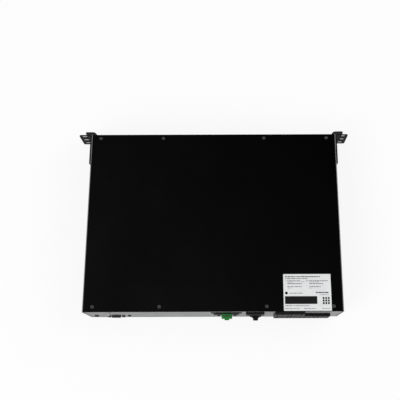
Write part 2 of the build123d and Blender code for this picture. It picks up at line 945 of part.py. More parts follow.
def card_cradle():
    """Folded shelf behind the bay, with four pressed bumps under the card's board."""
    half = bay_width / 2 + cradle_overlap
    low = card_plate_low - cradle_overlap
    body = block(bay_x - half, bay_x + half, rear_in - cradle_sheet, rear_in, low, cradle_top)
    body += block(bay_x - half, bay_x + half, rear_in - cradle_depth, rear_in, cradle_level, cradle_top)
    for x in plate_screw_xs:
        body -= rod_y(small_shaft + hole_gap, rear_in - cradle_sheet - 1, rear + 1, x, plate_screw_z)
    board_rear = rear_in - card_board_setback
    for x in (bay_x - card_board_width / 2 + bump_inset, bay_x + card_board_width / 2 - bump_inset):
        for y in (board_rear - bump_inset, board_rear - card_board_depth + bump_inset):
            body += rod_z(bump_radius, cradle_top, card_board_low, x, y)
    return body


def card_screws():
    """Two black screws that hold the card's plate and the cradle to the panel."""
    screw = pan_screw(small_shaft, plate_screw_head, plate_screw_head_height, plate_screw_length)
    face = rear + card_plate_sheet
    return group(Pos(x, face, plate_screw_z) * Rot(-90, 0, 0) * screw for x in plate_screw_xs)


def card_board():
    """Board of the card."""
    y1 = rear_in - card_board_setback
    half = card_board_width / 2
    return block(bay_x - half, bay_x + half, y1 - card_board_depth, y1, card_board_low, card_board_high)


def terminal_header():
    """Green header soldered on the card's board."""
    low = card_board_high
    high = low + header_height
    y1 = rear_in - card_board_setback
    half = plug_width / 2
    body = block(plug_x - half, plug_x + half, y1 - header_depth, y1, low, high)
    h = half - plug_wall
    bottom = y1 - plug_nose - plug_gap
    return body - block(plug_x - h, plug_x + h, bottom, y1 + 1, low + plug_wall, high - plug_wall)


def terminal_plug():
    """Green plug with three poles and a pull tab."""
    half = plug_width / 2
    y0 = rear_in - card_board_setback + plug_gap
    y1 = rear + plug_reach
    body = block(plug_x - half, plug_x + half, y0, y1, plug_low, plug_high)
    body = fillet(body.edges().filter_by(Axis.X).group_by(Axis.Y)[-1].group_by(Axis.Z)[-1], plug_round)
    n = half - plug_wall - plug_gap
    nose_low = card_board_high + plug_wall + plug_gap
    nose_high = card_board_high + header_height - plug_wall - plug_gap
    body += block(plug_x - n, plug_x + n, y0 - plug_nose, y0, nose_low, nose_high)
    t = tab_width / 2
    tab_top = plug_high - plug_round
    body += block(plug_x - t, plug_x + t, y1, y1 + tab_reach, tab_top - tab_height, tab_top)
    w = entry_width / 2
    entry_low = plug_low + entry_lift
    pole_y = y1 - pole_screw_inset
    for x in pole_xs:
        body -= rod_z(pole_screw_radius, plug_high - pole_screw_depth, plug_high + 1, x, pole_y)
        body -= block(x - w, x + w, y1 - entry_depth, y1 + 1, entry_low, entry_low + entry_height)
    return body


def terminal_screws():
    """Three slotted clamping screws in the plug."""
    y = rear + plug_reach - pole_screw_inset
    top = plug_high - pole_screw_sink
    r = pole_screw_radius
    half = pole_slot_width / 2
    screws = []
    for x in pole_xs:
        screw = rod_z(r - hole_gap, plug_high - pole_screw_depth, top, x, y)
        screws.append(screw - block(x - r, x + r, y - half, y + half, top - pole_slot_depth, top + 1))
    return group(screws)


# Rear interface

def interface_board():
    """Upright board behind the serial connector, the button and the jack."""
    low = rear_board - board_thickness
    return block(interface_right, interface_left, low, rear_board, interface_low, interface_high)


def serial_shell():
    """Black D shell with its flange behind the panel."""
    flange_width = 2 * (jack_screw_spread + shell_flange_end)
    flange = RectangleRounded(flange_width, shell_height + 2 * shell_flange_edge, shell_flange_edge)
    body = along_y(flange, rear_in - shell_flange, rear_in, serial_x, interface_z)
    outer = serial_outline(shell_width, shell_height)
    body += along_y(outer, rear_in - shell_flange, rear + shell_reach, serial_x, interface_z)
    inner = serial_outline(shell_width - 2 * shell_wall, shell_height - 2 * shell_wall)
    behind = rear_in - shell_flange - 1
    body -= along_y(inner, behind, rear + shell_reach + 1, serial_x, interface_z)
    for x in jack_screw_xs:
        body -= rod_y(jack_screw_shaft + cutout_gap, behind, rear_in + 1, x, interface_z)
    return body


def serial_insert():
    """Black insert with nine holes in two rows."""
    shrink = 2 * (shell_wall + insert_gap)
    nose = serial_outline(shell_width - shrink, shell_height - shrink)
    tip = rear + shell_reach - insert_step
    body = along_y(nose, rear_in - shell_flange, tip, serial_x, interface_z)
    back = Rectangle(shell_width + 2 * insert_back_edge, shell_height + 2 * insert_back_edge)
    body += along_y(back, rear_board, rear_in - shell_flange, serial_x, interface_z)
    for row, count in ((0.5, 5), (-0.5, 4)):
        for n in range(count):
            x = serial_x + (n - (count - 1) / 2) * pin_pitch
            body -= rod_y(pin_hole, tip - pin_hole_depth, tip + 1, x, interface_z + row * pin_row_gap)
    return body


def jack_screws():
    """Two hexagonal jack screws beside the shell."""
    screws = []
    for x in jack_screw_xs:
        head = Pos(x, rear, interface_z) * Rot(-90, 0, 0) * hex_bar(jack_screw_width, jack_screw_reach)
        head += rod_y(jack_screw_shaft, rear_in - jack_screw_tail, rear, x, interface_z)
        tip = rear + jack_screw_reach
        screws.append(head - rod_y(jack_screw_bore, tip - jack_screw_bore_depth, tip + 1, x, interface_z))
    return group(screws)


def push_button(radius, reach, travel):
    """Button pointing up from a panel whose inner face is at the origin."""
    tail = board_setback - switch_height - plunger_height - plunger_gap - travel
    bar = Pos(0, 0, -tail) * Cylinder(radius, tail + panel_sheet + reach, align=BASE)
    bar = fillet(bar.edges().group_by(Axis.Z)[-1], radius * 0.2)
    collar = Cylinder(radius + collar_extra, collar_thickness, align=BASE)
    return bar + Pos(0, 0, -collar_gap - collar_thickness) * collar


def push_switch():
    """Small switch with its plunger up, standing on a board at the origin."""
    case = Box(switch_size, switch_size, switch_height, align=BASE)
    return case + Pos(0, 0, switch_height) * Cylinder(plunger_radius, plunger_height, align=BASE)


def mute_button():
    """Round black button beside the serial connector."""
    button = push_button(mute_radius, mute_reach, mute_travel)
    return Pos(mute_x, rear_in, interface_z) * Rot(-90, 0, 0) * button


def sensor_jack():
    """Small round black jack that stands a little out of the panel."""
    tip = rear + jack_reach
    body = rod_y(jack_radius, rear_board, tip, jack_x, interface_z)
    housing = Rectangle(jack_body_width, jack_body_height)
    body += along_y(housing, rear_board, rear_in - jack_shoulder, jack_x, interface_z)
    return body - rod_y(jack_bore, tip - jack_bore_depth, tip + 1, jack_x, interface_z)


def ground_bolt():
    """Plated bolt from the inside, for the rack's earth lead."""
    head = Pos(ground_x, rear_in - ground_head_height, ground_z) * Rot(-90, 0, 0)
    body = head * hex_bar(ground_head_width, ground_head_height)
    bar = rod_y(ground_radius, rear_in, rear + ground_reach, ground_x, ground_z)
    return body + chamfer(bar.edges().group_by(Axis.Y)[-1], 0.5)


def ground_washer():
    """Plain washer against the panel."""
    top = rear + ground_washer_height
    disc = rod_y(ground_washer_radius, rear, top, ground_x, ground_z)
    return disc - rod_y(ground_radius + cutout_gap, rear - 1, top + 1, ground_x, ground_z)


def ground_nut():
    """Hexagonal nut over the washer."""
    y = rear + ground_washer_height
    nut = Pos(ground_x, y, ground_z) * Rot(-90, 0, 0) * hex_bar(ground_head_width, ground_nut_height)
    return nut - rod_y(ground_radius + hole_gap, y - 1, y + ground_nut_height + 1, ground_x, ground_z)


# Front

def display_window():
    """Smoked plastic window, stepped so that it fills the opening from behind."""
    lens = Rectangle(window_width - 2 * cutout_gap, window_height - 2 * cutout_gap)
    body = along_y(lens, front, front_in, window_x, window_z)
    lip = Rectangle(window_width + 2 * window_lip, window_height + 2 * window_lip)
    return body + along_y(lip, front_in, front_in + window_lip_thickness, window_x, window_z)


def display_module():
    """Display between the window and its board."""
    glass = Rectangle(window_width - 2 * display_margin, window_height - display_margin)
    return along_y(glass, front_in + window_lip_thickness + seat_gap, front_board, window_x, window_z)


def display_board():
    """Upright board behind the front panel."""
    back = front_board + board_thickness
    return block(display_board_x0, display_board_x1, front_board, back, display_board_z0, display_board_z1)


def status_lights():
    """Clear light pipes from the board to the front."""
    return group(rod_y(light_radius, front - light_reach, front_board, x, light_z) for x in light_xs)


def power_button():
    """Round button at the front."""
    button = push_button(power_radius, power_reach, power_travel)
    return Pos(power_x, front_in, power_z) * Rot(90, 0, 0) * button


def push_switches():
    """Switches under the power button and the button at the rear."""
    at_front = Pos(power_x, front_board, power_z) * Rot(90, 0, 0) * push_switch()
    return group([at_front, Pos(mute_x, rear_board, interface_z) * Rot(-90, 0, 0) * push_switch()])


# Batteries

def battery(y):
    """Sealed battery lying on its side, with its terminal face to the rear."""
    half = battery_length / 2
    body = block(battery_x - half, battery_x + half, y, y + battery_depth, battery_low, battery_top)
    body = fillet(body.edges(), battery_edge)
    seam = y + battery_depth - battery_groove_back
    end = seam + battery_groove_width
    ring = block(battery_x - half - 1, battery_x + half + 1, seam, end, battery_low - 1, battery_top + 1)
    g = battery_groove
    core = block(battery_x - half + g, battery_x + half - g, seam, end, battery_low + g, battery_top - g)
    return body - (ring - core)


def battery_pads():
    """Soft pads between the batteries and the floor."""
    half = battery_length / 2 - pad_end
    pads = []
    for y in battery_ys:
        for middle in (y + pad_inset, y + battery_depth - pad_inset):
            y0 = middle - pad_width / 2
            pads.append(block(battery_x - half, battery_x + half, y0, y0 + pad_width, floor, battery_low))
    return group(pads)


def tab_places():
    """Where the two terminals of a battery stand, along X."""
    reach = battery_length / 2 - tab_inset
    return (battery_x - reach, battery_x + reach)


def battery_tabs():
    """Tin-plated terminal tabs on both batteries."""
    z = battery_top - tab_drop
    tab = Box(tab_length, tab_rise, tab_thickness, align=(Align.CENTER, Align.MIN, Align.MIN))
    return group(Pos(x, y + battery_depth, z) * tab for y in battery_ys for x in tab_places())


def battery_strap(y):
    """Folded strap over one battery, with a foot at each side."""
    middle = y + battery_depth / 2
    y0 = middle - strap_width / 2
    y1 = middle + strap_width / 2
    top = battery_top + strap_gap
    body = block(battery_x - strap_half, battery_x + strap_half, y0, y1, floor, top + strap_sheet)
    inner = strap_half - strap_sheet
    body -= block(battery_x - inner, battery_x + inner, y0 - 1, y1 + 1, floor - 1, top)
    for side in (-1, 1):
        x0, x1 = sorted((battery_x + side * inner, battery_x + side * (strap_half + strap_foot)))
        body += block(x0, x1, y0, y1, floor, floor + strap_sheet)
        body -= rod_z(small_shaft + hole_gap, 0, 5, battery_x + side * strap_screw_x, middle)
    return body


# Transformer

def transformer_core():
    """Stacked iron core with two windows."""
    top = floor + core_height
    y0 = core_y - core_stack / 2
    y1 = core_y + core_stack / 2
    body = block(core_x - core_width / 2, core_x + core_width / 2, y0, y1, floor, top)
    for side in (-1, 1):
        outer = core_width / 2 - core_leg
        x0, x1 = sorted((core_x + side * outer, core_x + side * (outer - core_window)))
        body -= block(x0, x1, y0 - 1, y1 + 1, floor + core_leg, top - core_leg)
    return body


def transformer_windings():
    """Taped coil round the middle leg."""
    reach = core_width / 2 - core_leg - winding_gap
    y0 = core_y - core_stack / 2 - winding_overhang
    y1 = core_y + core_stack / 2 + winding_overhang
    z0 = floor + core_leg + winding_gap
    z1 = floor + core_height - core_leg - winding_gap
    body = block(core_x - reach, core_x + reach, y0, y1, z0, z1)
    body = fillet(body.edges().filter_by(Axis.Z), winding_corner)
    leg = core_width / 2 - core_leg - core_window + winding_gap
    stack = core_stack / 2 + winding_gap
    return body - block(core_x - leg, core_x + leg, core_y - stack, core_y + stack, z0 - 1, z1 + 1)


def transformer_clamp():
    """Folded clamp over the core, with a foot at each side."""
    top = floor + core_height + clamp_gap
    y0 = core_y - clamp_width / 2
    y1 = core_y + clamp_width / 2
    body = block(core_x - clamp_half, core_x + clamp_half, y0, y1, floor, top + clamp_sheet)
    inner = clamp_half - clamp_sheet
    body -= block(core_x - inner, core_x + inner, y0 - 1, y1 + 1, floor - 1, top)
    for side in (-1, 1):
        x0, x1 = sorted((core_x + side * inner, core_x + side * (clamp_half + clamp_foot)))
        body += block(x0, x1, y0, y1, floor, floor + clamp_sheet)
    for x, y in clamp_points:
        body -= rod_z(small_shaft + hole_gap, 0, 5, x, y)
    return body


# Main board

def main_board():
    """Green board on standoffs."""
    w = main_width / 2
    d = main_depth / 2
    body = block(main_x - w, main_x + w, main_y - d, main_y + d, main_low, main_high)
    for x, y in standoff_points:
        body -= rod_z(small_shaft + hole_gap, main_low - 1, main_high + 1, x, y)
    return body


def board_standoffs():
    """Hexagonal standoffs under the main board and behind both panels."""
    bar = hex_bar(standoff_width, standoff_height) - Cylinder(small_shaft + hole_gap, 40)
    parts = [Pos(x, y, floor) * bar for x, y in standoff_points]
    post = hex_bar(standoff_width, board_setback)
    parts += [Pos(x, rear_in, z) * Rot(90, 0, 0) * post for x, z in post_places]
    parts += [Pos(x, front_in, z) * Rot(-90, 0, 0) * post for x, z in display_posts]
    return group(parts)


def pan_screws():
    """Screws down into the main board's standoffs, and long ones through the fan into the tray's wall."""
    short = pan_screw(small_shaft, board_screw_head, board_screw_head_height, board_screw_length)
    parts = [Pos(x, y, main_high) * short for x, y in standoff_points]
    shank = fan_depth + tray_sheet - wall_inset
    long = pan_screw(small_shaft, board_screw_head, board_screw_head_height, shank)
    parts += [Pos(fan_in, y, z) * Rot(0, -90, 0) * long for y, z in fan_screw_points]
    return group(parts)


def heatsink(x):
    """Extruded heatsink: an upright back with level fins."""
    y0 = sink_y - sink_length / 2
    y1 = sink_y + sink_length / 2
    back = x - sink_width / 2
    body = block(back, back + sink_base, y0, y1, main_high, main_high + sink_height)
    gap = (sink_height - sink_fin) / (sink_fin_count - 1)
    for n in range(sink_fin_count):
        z = main_high + n * gap
        body += block(back, back + sink_width, y0, y1, z, z + sink_fin)
    return body


def power_transistors():
    """Black power transistors against the backs of both heatsinks."""
    w = transistor_width / 2
    body = block(-transistor_thickness, 0, -w, w, transistor_lead, transistor_lead + transistor_height)
    for n in (-1, 0, 1):
        leg = Box(lead_sheet, lead_width, transistor_lead, align=BASE)
        body += Pos(-transistor_thickness / 2, n * lead_pitch, 0) * leg
    first = sink_y - (transistor_count - 1) / 2 * transistor_pitch
    return group(
        Pos(x - sink_width / 2, first + n * transistor_pitch, main_high) * body
        for x in sink_places
        for n in range(transistor_count)
    )


def bulk_capacitors():
    """Upright can capacitors in a row."""
    can = Cylinder(capacitor_radius, capacitor_height, align=BASE)
    can = fillet(can.edges().group_by(Axis.Z)[-1], capacitor_radius * 0.1)
    first = main_y - capacitor_back
    return group(
        Pos(main_x + capacitor_offset, first + n * capacitor_pitch, main_high) * can
        for n in range(capacitor_count)
    )


def board_relays():
    """Sealed relays in a row near the rear."""
    relay = Box(relay_width, relay_length, relay_height, align=BASE)
    relay = fillet(relay.edges().filter_by(Axis.Z), relay_corner)
    first = main_x + relay_offset
    return group(Pos(first + n * relay_pitch, on_board_y, main_high) * relay for n in range(relay_count))


def filter_choke():
    """Ring choke lying on the board."""
    return Pos(main_x + choke_offset, on_board_y, main_high + choke_wire) * Torus(choke_radius, choke_wire)


# Fan

fan_in = tray_in - fan_depth
fan_centre = Pos(fan_in, fan_y, fan_z) * Rot(0, 90, 0)


def fan_frame():
    """Square fan frame against the tray's wall, with the motor base on its inner side."""
    body = extrude(RectangleRounded(fan_size, fan_size, fan_corner), fan_depth)
    body -= Pos(0, 0, -1) * Cylinder(fan_bore, fan_depth + 2, align=BASE)
    struts = Box(2 * fan_bore + 2, fan_strut, fan_motor_depth - 2, align=BASE)
    struts += Rot(0, 0, 90) * struts
    base = Cylinder(fan_motor, fan_motor_depth, align=BASE)
    body += struts
    body += base
    body -= Pos(0, 0, -1) * Cylinder(fan_shaft + fan_shaft_gap, fan_motor_depth + 2, align=BASE)
    body = fan_centre * body
    for y, z in fan_screw_points:
        body -= rod_x(small_shaft + hole_gap, fan_in - 1, tray_in + 1, y, z)
    return body


def fan_rotor():
    """Hub with its shaft and pitched blades."""
    low = fan_motor_depth + fan_side_gap
    high = fan_depth - fan_side_gap
    tip = fan_bore - fan_tip_gap
    hub = Pos(0, 0, low) * Cylinder(fan_hub, high - low, align=BASE)
    hub = fillet(hub.edges().group_by(Axis.Z)[-1], 1.5)
    hub += Cylinder(fan_shaft, low + 1, align=BASE)
    room = Pos(0, 0, low) * Cylinder(tip, high - low, align=BASE)
    middle = (low + high) / 2
    for n in range(fan_blade_count):
        blade = Box(tip, fan_blade_chord, fan_blade_thickness, align=(Align.MIN, Align.CENTER, Align.CENTER))
        blade = Pos(0, 0, middle) * Rot(fan_blade_pitch, 0, 0) * (Pos(fan_hub - 1, 0, 0) * blade)
        hub += Rot(0, 0, n * 360 / fan_blade_count) * (blade & room)
    return fan_centre * hub


# Leads inside the case

def lead(radius, points):
    """Insulated lead along its points, with round turns."""
    path = FilletPolyline(*points, radius=lead_turn)
    start = Plane(origin=path @ 0, z_dir=path % 0)
    return sweep(start * Circle(radius), path=path)


def battery_leads():
    """Link between the batteries, and one lead from each battery to the main board."""
    near, far = tab_places()
    y_front, y_rear = (y + battery_depth + tab_rise / 2 for y in battery_ys)
    tab = battery_top - tab_drop + tab_thickness
    over = battery_top + lead_rise
    link = [
        (far, y_front, tab),
        (far, y_front, over - 5),
        (far - 4, y_front + 18, over),
        (far + 3, y_front + 53, over - 1),
        (far - 2, y_rear - 17, over),
        (far, y_rear, over - 5),
        (far, y_rear, tab),
    ]
    plus_y, minus_y = (main_y + forward for forward in lead_pads_forward)
    plus = [
        (near, y_front, tab),
        (near, y_front, over - 7),
        (near - 14, y_front + 4, over - 2),
        (near - 34, plus_y - 8, over - 11),
        (lead_pad_x + 2, plus_y, main_high + 30),
        (lead_pad_x, plus_y, main_high + 14),
        (lead_pad_x, plus_y, main_high),
    ]
    minus = [
        (near, y_rear, tab),
        (near, y_rear, over - 7),
        (near - 14, y_rear - 6, over - 2),
        (near - 32, y_rear - 28, over - 9),
        (lead_pad_x + 4, minus_y + 8, main_high + 34),
        (lead_pad_x, minus_y, main_high + 16),
        (lead_pad_x, minus_y, main_high),
    ]
    return [lead(lead_radius, points) for points in (link, plus, minus)]


def mains_leads():
    """Three leads from the inlet's tabs to the main board."""
    tail = rear - inlet_body_depth - blade_tab
    leads = []
    for dx, dz in blade_places():
        x = inlet_x + dx
        z = inlet_z + dz
        points = [
            (x, tail, z),
            (x, tail - 14, z),
            (x, tail - 30, z - 16),
            (x, tail - 46, z - 36),
            (x, mains_pad_y, main_high + 16),
            (x, mains_pad_y, main_high),
        ]
        leads.append(lead(mains_lead_radius, points))
    return leads


def inner_leads():
    """All leads inside the case."""
    return group(battery_leads() + mains_leads())


nodes = {
    "top_cover": top_cover(),
    "base_tray": base_tray(),
    "case_screws": case_screws(),
    "case_nuts": case_nuts(),
    "rear_panel": rear_panel(),
    "front_panel": front_panel(),
    "rack_bracket_left": rack_bracket(1),
    "rack_bracket_right": rack_bracket(-1),
    "bracket_screws": bracket_screws(),
    "rating_label": rating_label(),
    "mains_inlet": mains_inlet(),
    "inlet_blades": inlet_blades(),
    "breaker_body": breaker_body(),
    "breaker_nut": breaker_nut(),
    "breaker_button": breaker_button(),
    "breaker_tabs": breaker_tabs(),
    "outlet_block_four": outlet_block(four_x, four_width, four_height, four_cells),
    "outlet_block_two": outlet_block(two_x, two_width, two_height, two_cells),
    "outlet_contacts": outlet_contacts(four_cells + two_cells),
    "card_plate": card_plate(),
    "card_cradle": card_cradle(),
    "card_screws": card_screws(),
    "card_board": card_board(),
    "terminal_header": terminal_header(),
    "terminal_plug": terminal_plug(),
    "terminal_screws": terminal_screws(),
    "interface_board": interface_board(),
    "serial_shell": serial_shell(),
    "serial_insert": serial_insert(),
    "jack_screws": jack_screws(),
    "mute_button": mute_button(),
    "sensor_jack": sensor_jack(),
    "ground_bolt": ground_bolt(),
    "ground_washer": ground_washer(),
    "ground_nut": ground_nut(),
    "display_window": display_window(),
    "display_module": display_module(),
    "display_board": display_board(),
    "status_lights": status_lights(),
    "power_button": power_button(),
    "push_switches": push_switches(),
    "battery_front": battery(battery_ys[0]),
    "battery_rear": battery(battery_ys[1]),
    "battery_pads": battery_pads(),
    "battery_tabs": battery_tabs(),
    "battery_straps": group(battery_strap(y) for y in battery_ys),
    "transformer_core": transformer_core(),
    "transformer_windings": transformer_windings(),
    "transformer_clamp": transformer_clamp(),
    "main_board": main_board(),
    "board_standoffs": board_standoffs(),
    "pan_screws": pan_screws(),
    "heatsinks": group(heatsink(x) for x in sink_places),
    "power_transistors": power_transistors(),
    "bulk_capacitors": bulk_capacitors(),
    "board_relays": board_relays(),
    "filter_choke": filter_choke(),
    "fan_frame": fan_frame(),
    "fan_rotor": fan_rotor(),
    "inner_leads": inner_leads(),
}

os.makedirs("parts", exist_ok=True)
for name, shape in nodes.items():
    export_step(shape, f"parts/{name}.step")
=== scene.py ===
import math
import random

import bpy
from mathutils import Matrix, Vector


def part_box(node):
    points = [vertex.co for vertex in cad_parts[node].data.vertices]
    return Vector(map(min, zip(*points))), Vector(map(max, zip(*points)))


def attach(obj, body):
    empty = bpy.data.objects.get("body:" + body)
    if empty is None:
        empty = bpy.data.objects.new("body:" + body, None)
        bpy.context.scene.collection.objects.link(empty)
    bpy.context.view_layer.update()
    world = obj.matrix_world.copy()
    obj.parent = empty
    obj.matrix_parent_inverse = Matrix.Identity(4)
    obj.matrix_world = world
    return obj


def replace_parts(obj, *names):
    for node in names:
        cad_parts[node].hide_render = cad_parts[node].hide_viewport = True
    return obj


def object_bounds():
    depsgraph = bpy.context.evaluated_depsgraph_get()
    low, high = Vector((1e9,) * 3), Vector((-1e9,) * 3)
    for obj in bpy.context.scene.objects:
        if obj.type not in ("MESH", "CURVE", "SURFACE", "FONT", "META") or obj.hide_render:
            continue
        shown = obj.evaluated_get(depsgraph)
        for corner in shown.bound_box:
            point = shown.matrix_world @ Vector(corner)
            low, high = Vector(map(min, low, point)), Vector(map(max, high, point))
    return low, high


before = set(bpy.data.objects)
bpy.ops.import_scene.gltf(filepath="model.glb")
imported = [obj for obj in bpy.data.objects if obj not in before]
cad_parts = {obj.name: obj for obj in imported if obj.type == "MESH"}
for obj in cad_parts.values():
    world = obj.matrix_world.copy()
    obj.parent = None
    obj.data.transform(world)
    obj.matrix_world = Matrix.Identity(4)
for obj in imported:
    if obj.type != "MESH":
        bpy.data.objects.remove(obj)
cad_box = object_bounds()


# Tray, rear panel, straps and clamp
# These are cold-rolled steel sheet, cut and folded, then zinc-plated. The plating is matt, a little cloudy,
# and shows the rolling lines. Screws and nuts hold the panel to the tray.

zinc_dark = (0.17, 0.172, 0.176, 1)
zinc_light = (0.25, 0.253, 0.258, 1)
zinc_worn = (0.36, 0.36, 0.356, 1)


def add(tree, kind, **values):
    """A node of that kind, with its inputs set by name."""
    node = tree.nodes.new(kind)
    for name, value in values.items():
        node.inputs[name.replace("_", " ")].default_value = value
    return node


def effect(name, inputs, outputs):
    """An empty node group with float inputs and outputs: (group, its input node, its output node)."""
    tree = bpy.data.node_groups.new(name, "ShaderNodeTree")
    for socket, value in inputs.items():
        made = tree.interface.new_socket(socket, in_out="INPUT", socket_type="NodeSocketFloat")
        made.default_value = value
    for socket in outputs:
        tree.interface.new_socket(socket, in_out="OUTPUT", socket_type="NodeSocketFloat")
    return tree, tree.nodes.new("NodeGroupInput"), tree.nodes.new("NodeGroupOutput")


def sum_of(tree, operation, a, b):
    """The result of one operation on two sockets or numbers."""
    node = tree.nodes.new("ShaderNodeMath")
    node.operation = operation
    for socket, value in zip(node.inputs, (a, b)):
        if isinstance(value, (int, float)):
            socket.default_value = value
        else:
            tree.links.new(value, socket)
    return node.outputs[0]


def object_place(tree, stretch=(1, 1, 1)):
    """Object coordinates, stretched along each axis."""
    place = tree.nodes.new("ShaderNodeTexCoord")
    mapping = add(tree, "ShaderNodeMapping", Scale=stretch)
    tree.links.new(place.outputs["Object"], mapping.inputs["Vector"])
    return mapping.outputs["Vector"]


def noise_of(tree, size, stretch=(1, 1, 1), **values):
    """Noise with spots of about the size that a socket gives."""
    noise = add(tree, "ShaderNodeTexNoise", **values)
    tree.links.new(object_place(tree, stretch), noise.inputs["Vector"])
    tree.links.new(sum_of(tree, "DIVIDE", 1.0, size), noise.inputs["Scale"])
    return noise.outputs[0]


def make_grain():
    """Fine even grain of a given size, as a shade and as a height."""
    tree, given, result = effect("grain", {"Size": 0.001}, ["Shade"])
    tree.links.new(noise_of(tree, given.outputs["Size"], Detail=2.0), result.inputs["Shade"])
    return tree


def make_clouds():
    """Soft patches between two limits, from 0 to 1."""
    tree, given, result = effect("clouds", {"Size": 0.1, "Low": 0.35, "High": 0.65}, ["Mask"])
    limits = tree.nodes.new("ShaderNodeMapRange")
    tree.links.new(noise_of(tree, given.outputs["Size"], Detail=5.0, Roughness=0.6), limits.inputs["Value"])
    tree.links.new(given.outputs["Low"], limits.inputs["From Min"])
    tree.links.new(given.outputs["High"], limits.inputs["From Max"])
    tree.links.new(limits.outputs["Result"], result.inputs["Mask"])
    return tree


def make_edge_wear():
    """Mask along outer edges and corners, broken up so that it looks rubbed."""
    tree, given, result = effect("edge_wear", {"Width": 0.0006, "Break_Up": 0.006}, ["Mask"])
    rounded = add(tree, "ShaderNodeBevel")
    rounded.samples = 4
    tree.links.new(given.outputs["Width"], rounded.inputs["Radius"])
    flat = tree.nodes.new("ShaderNodeNewGeometry")
    facing = tree.nodes.new("ShaderNodeVectorMath")
    facing.operation = "DOT_PRODUCT"
    tree.links.new(rounded.outputs["Normal"], facing.inputs[0])
    tree.links.new(flat.outputs["True Normal"], facing.inputs[1])
    turned = sum_of(tree, "SUBTRACT", 1.0, facing.outputs["Value"])
    rubbed = sum_of(tree, "MULTIPLY", turned, noise_of(tree, given.outputs["Break_Up"], Detail=4.0))
    limits = add(tree, "ShaderNodeMapRange", From_Min=0.03, From_Max=0.12)
    tree.links.new(rubbed, limits.inputs["Value"])
    tree.links.new(limits.outputs["Result"], result.inputs["Mask"])
    return tree


def make_lines():
    """Fine straight lines along X, such as rolling, brushing or moulding lines."""
    tree, given, result = effect("lines", {"Pitch": 0.0005}, ["Shade"])
    drawn_out = (0.02, 1, 1)
    lines = noise_of(tree, given.outputs["Pitch"], drawn_out, Detail=3.0, Roughness=0.7)
    tree.links.new(lines, result.inputs["Shade"])
    return tree


effects = {
    "grain": make_grain(), "clouds": make_clouds(), "edge_wear": make_edge_wear(), "lines": make_lines(),
}


def use(tree, name, **values):
    """One of the effects placed in a material, with its own values."""
    node = tree.nodes.new("ShaderNodeGroup")
    node.node_tree = effects[name]
    for socket, value in values.items():
        node.inputs[socket].default_value = value
    return node.outputs[0]


def new_finish(name, **sockets):
    """A material with its plain sockets set: (material, its tree, its shader)."""
    material = bpy.data.materials.new(name)
    material.use_nodes = True
    shader = material.node_tree.nodes["Principled BSDF"]
    for socket, value in sockets.items():
        shader.inputs[socket.replace("_", " ")].default_value = value
    return material, material.node_tree, shader


def blend_colours(tree, mask, low, high):
    """A colour between two others, each one a colour or a socket."""
    mix = tree.nodes.new("ShaderNodeMix")
    mix.data_type = "RGBA"
    tree.links.new(mask, mix.inputs["Factor"])
    for socket, colour in ((mix.inputs[6], low), (mix.inputs[7], high)):
        if isinstance(colour, tuple):
            socket.default_value = colour
        else:
            tree.links.new(colour, socket)
    return mix.outputs[2]


def spread(tree, mask, low, high):
    """A mask from 0 to 1 brought to a range of values."""
    limits = add(tree, "ShaderNodeMapRange", To_Min=low, To_Max=high)
    tree.links.new(mask, limits.inputs["Value"])
    return limits.outputs["Result"]


def feed(tree, shader, colour, roughness):
    """Links a colour and a roughness to the shader."""
    tree.links.new(colour, shader.inputs["Base Color"])
    tree.links.new(roughness, shader.inputs["Roughness"])


def raise_surface(tree, shader, height, distance, strength):
    """Height pattern that feeds the shader's normal. distance is in metres."""
    bump = add(tree, "ShaderNodeBump", Strength=strength, Distance=distance)
    tree.links.new(height, bump.inputs["Height"])
    tree.links.new(bump.outputs["Normal"], shader.inputs["Normal"])


def dress(material, *names):
    """Gives CAD nodes their finish."""
    for name in names:
        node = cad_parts[name]
        if not node.material_slots:
            node.data.materials.append(material)
        for place in node.material_slots:
            place.material = material


def zinc_plate():
    """Matt zinc plating over rolled sheet."""
    material, tree, shader = new_finish("zinc_plate", Metallic=0.75, Specular_IOR_Level=0.2)
    lines = use(tree, "lines", Pitch=0.0007)
    worn = use(tree, "edge_wear", Width=0.0007, Break_Up=0.004)
    colour = blend_colours(tree, use(tree, "clouds", Size=0.045), zinc_dark, zinc_light)
    feed(tree, shader, blend_colours(tree, worn, colour, zinc_worn), spread(tree, lines, 0.34, 0.58))
    raise_surface(tree, shader, lines, distance=0.00002, strength=0.4)
    return material


dress(zinc_plate(), "base_tray", "rear_panel", "battery_straps", "transformer_clamp")


# Nuts, bolts and plated fittings
# Steel nuts, standoffs, pan screws and the ground nut and washer are bright zinc over steel, turned or
# pressed. The terminal's small screws and the serial connector's jack screws have gone dull.

plated_dark = (0.3, 0.3, 0.293, 1)
plated_light = (0.5, 0.5, 0.485, 1)
dull_dark = (0.05, 0.05, 0.048, 1)
dull_light = (0.13, 0.13, 0.125, 1)


def plated(name, dark, light, low, high):
    """Plating with fine turning marks and duller spots. low and high limit the roughness."""
    material, tree, shader = new_finish(name, Metallic=1.0)
    worn = use(tree, "edge_wear", Width=0.0003, Break_Up=0.002)
    colour = blend_colours(tree, use(tree, "clouds", Size=0.004), dark, light)
    roughness = spread(tree, use(tree, "grain", Size=0.0008), low, high)
    feed(tree, shader, blend_colours(tree, worn, colour, plated_light), roughness)
    raise_surface(tree, shader, use(tree, "grain", Size=0.0003), distance=0.00001, strength=0.3)
    return material


bright_plating = plated("bright_plating", plated_dark, plated_light, low=0.2, high=0.42)
dress(
    bright_plating, "case_nuts", "board_standoffs", "pan_screws", "ground_washer", "ground_nut",
    "battery_tabs",
)
dress(plated("dull_plating", dull_dark, dull_light, low=0.5, high=0.7), "terminal_screws", "jack_screws")


# Ground bolt
# A plated machine bolt goes out through the panel from inside, with its hexagon head against the sheet. Its
# thread carries the washer and the nut, which hold the ring terminal of a ground wire.

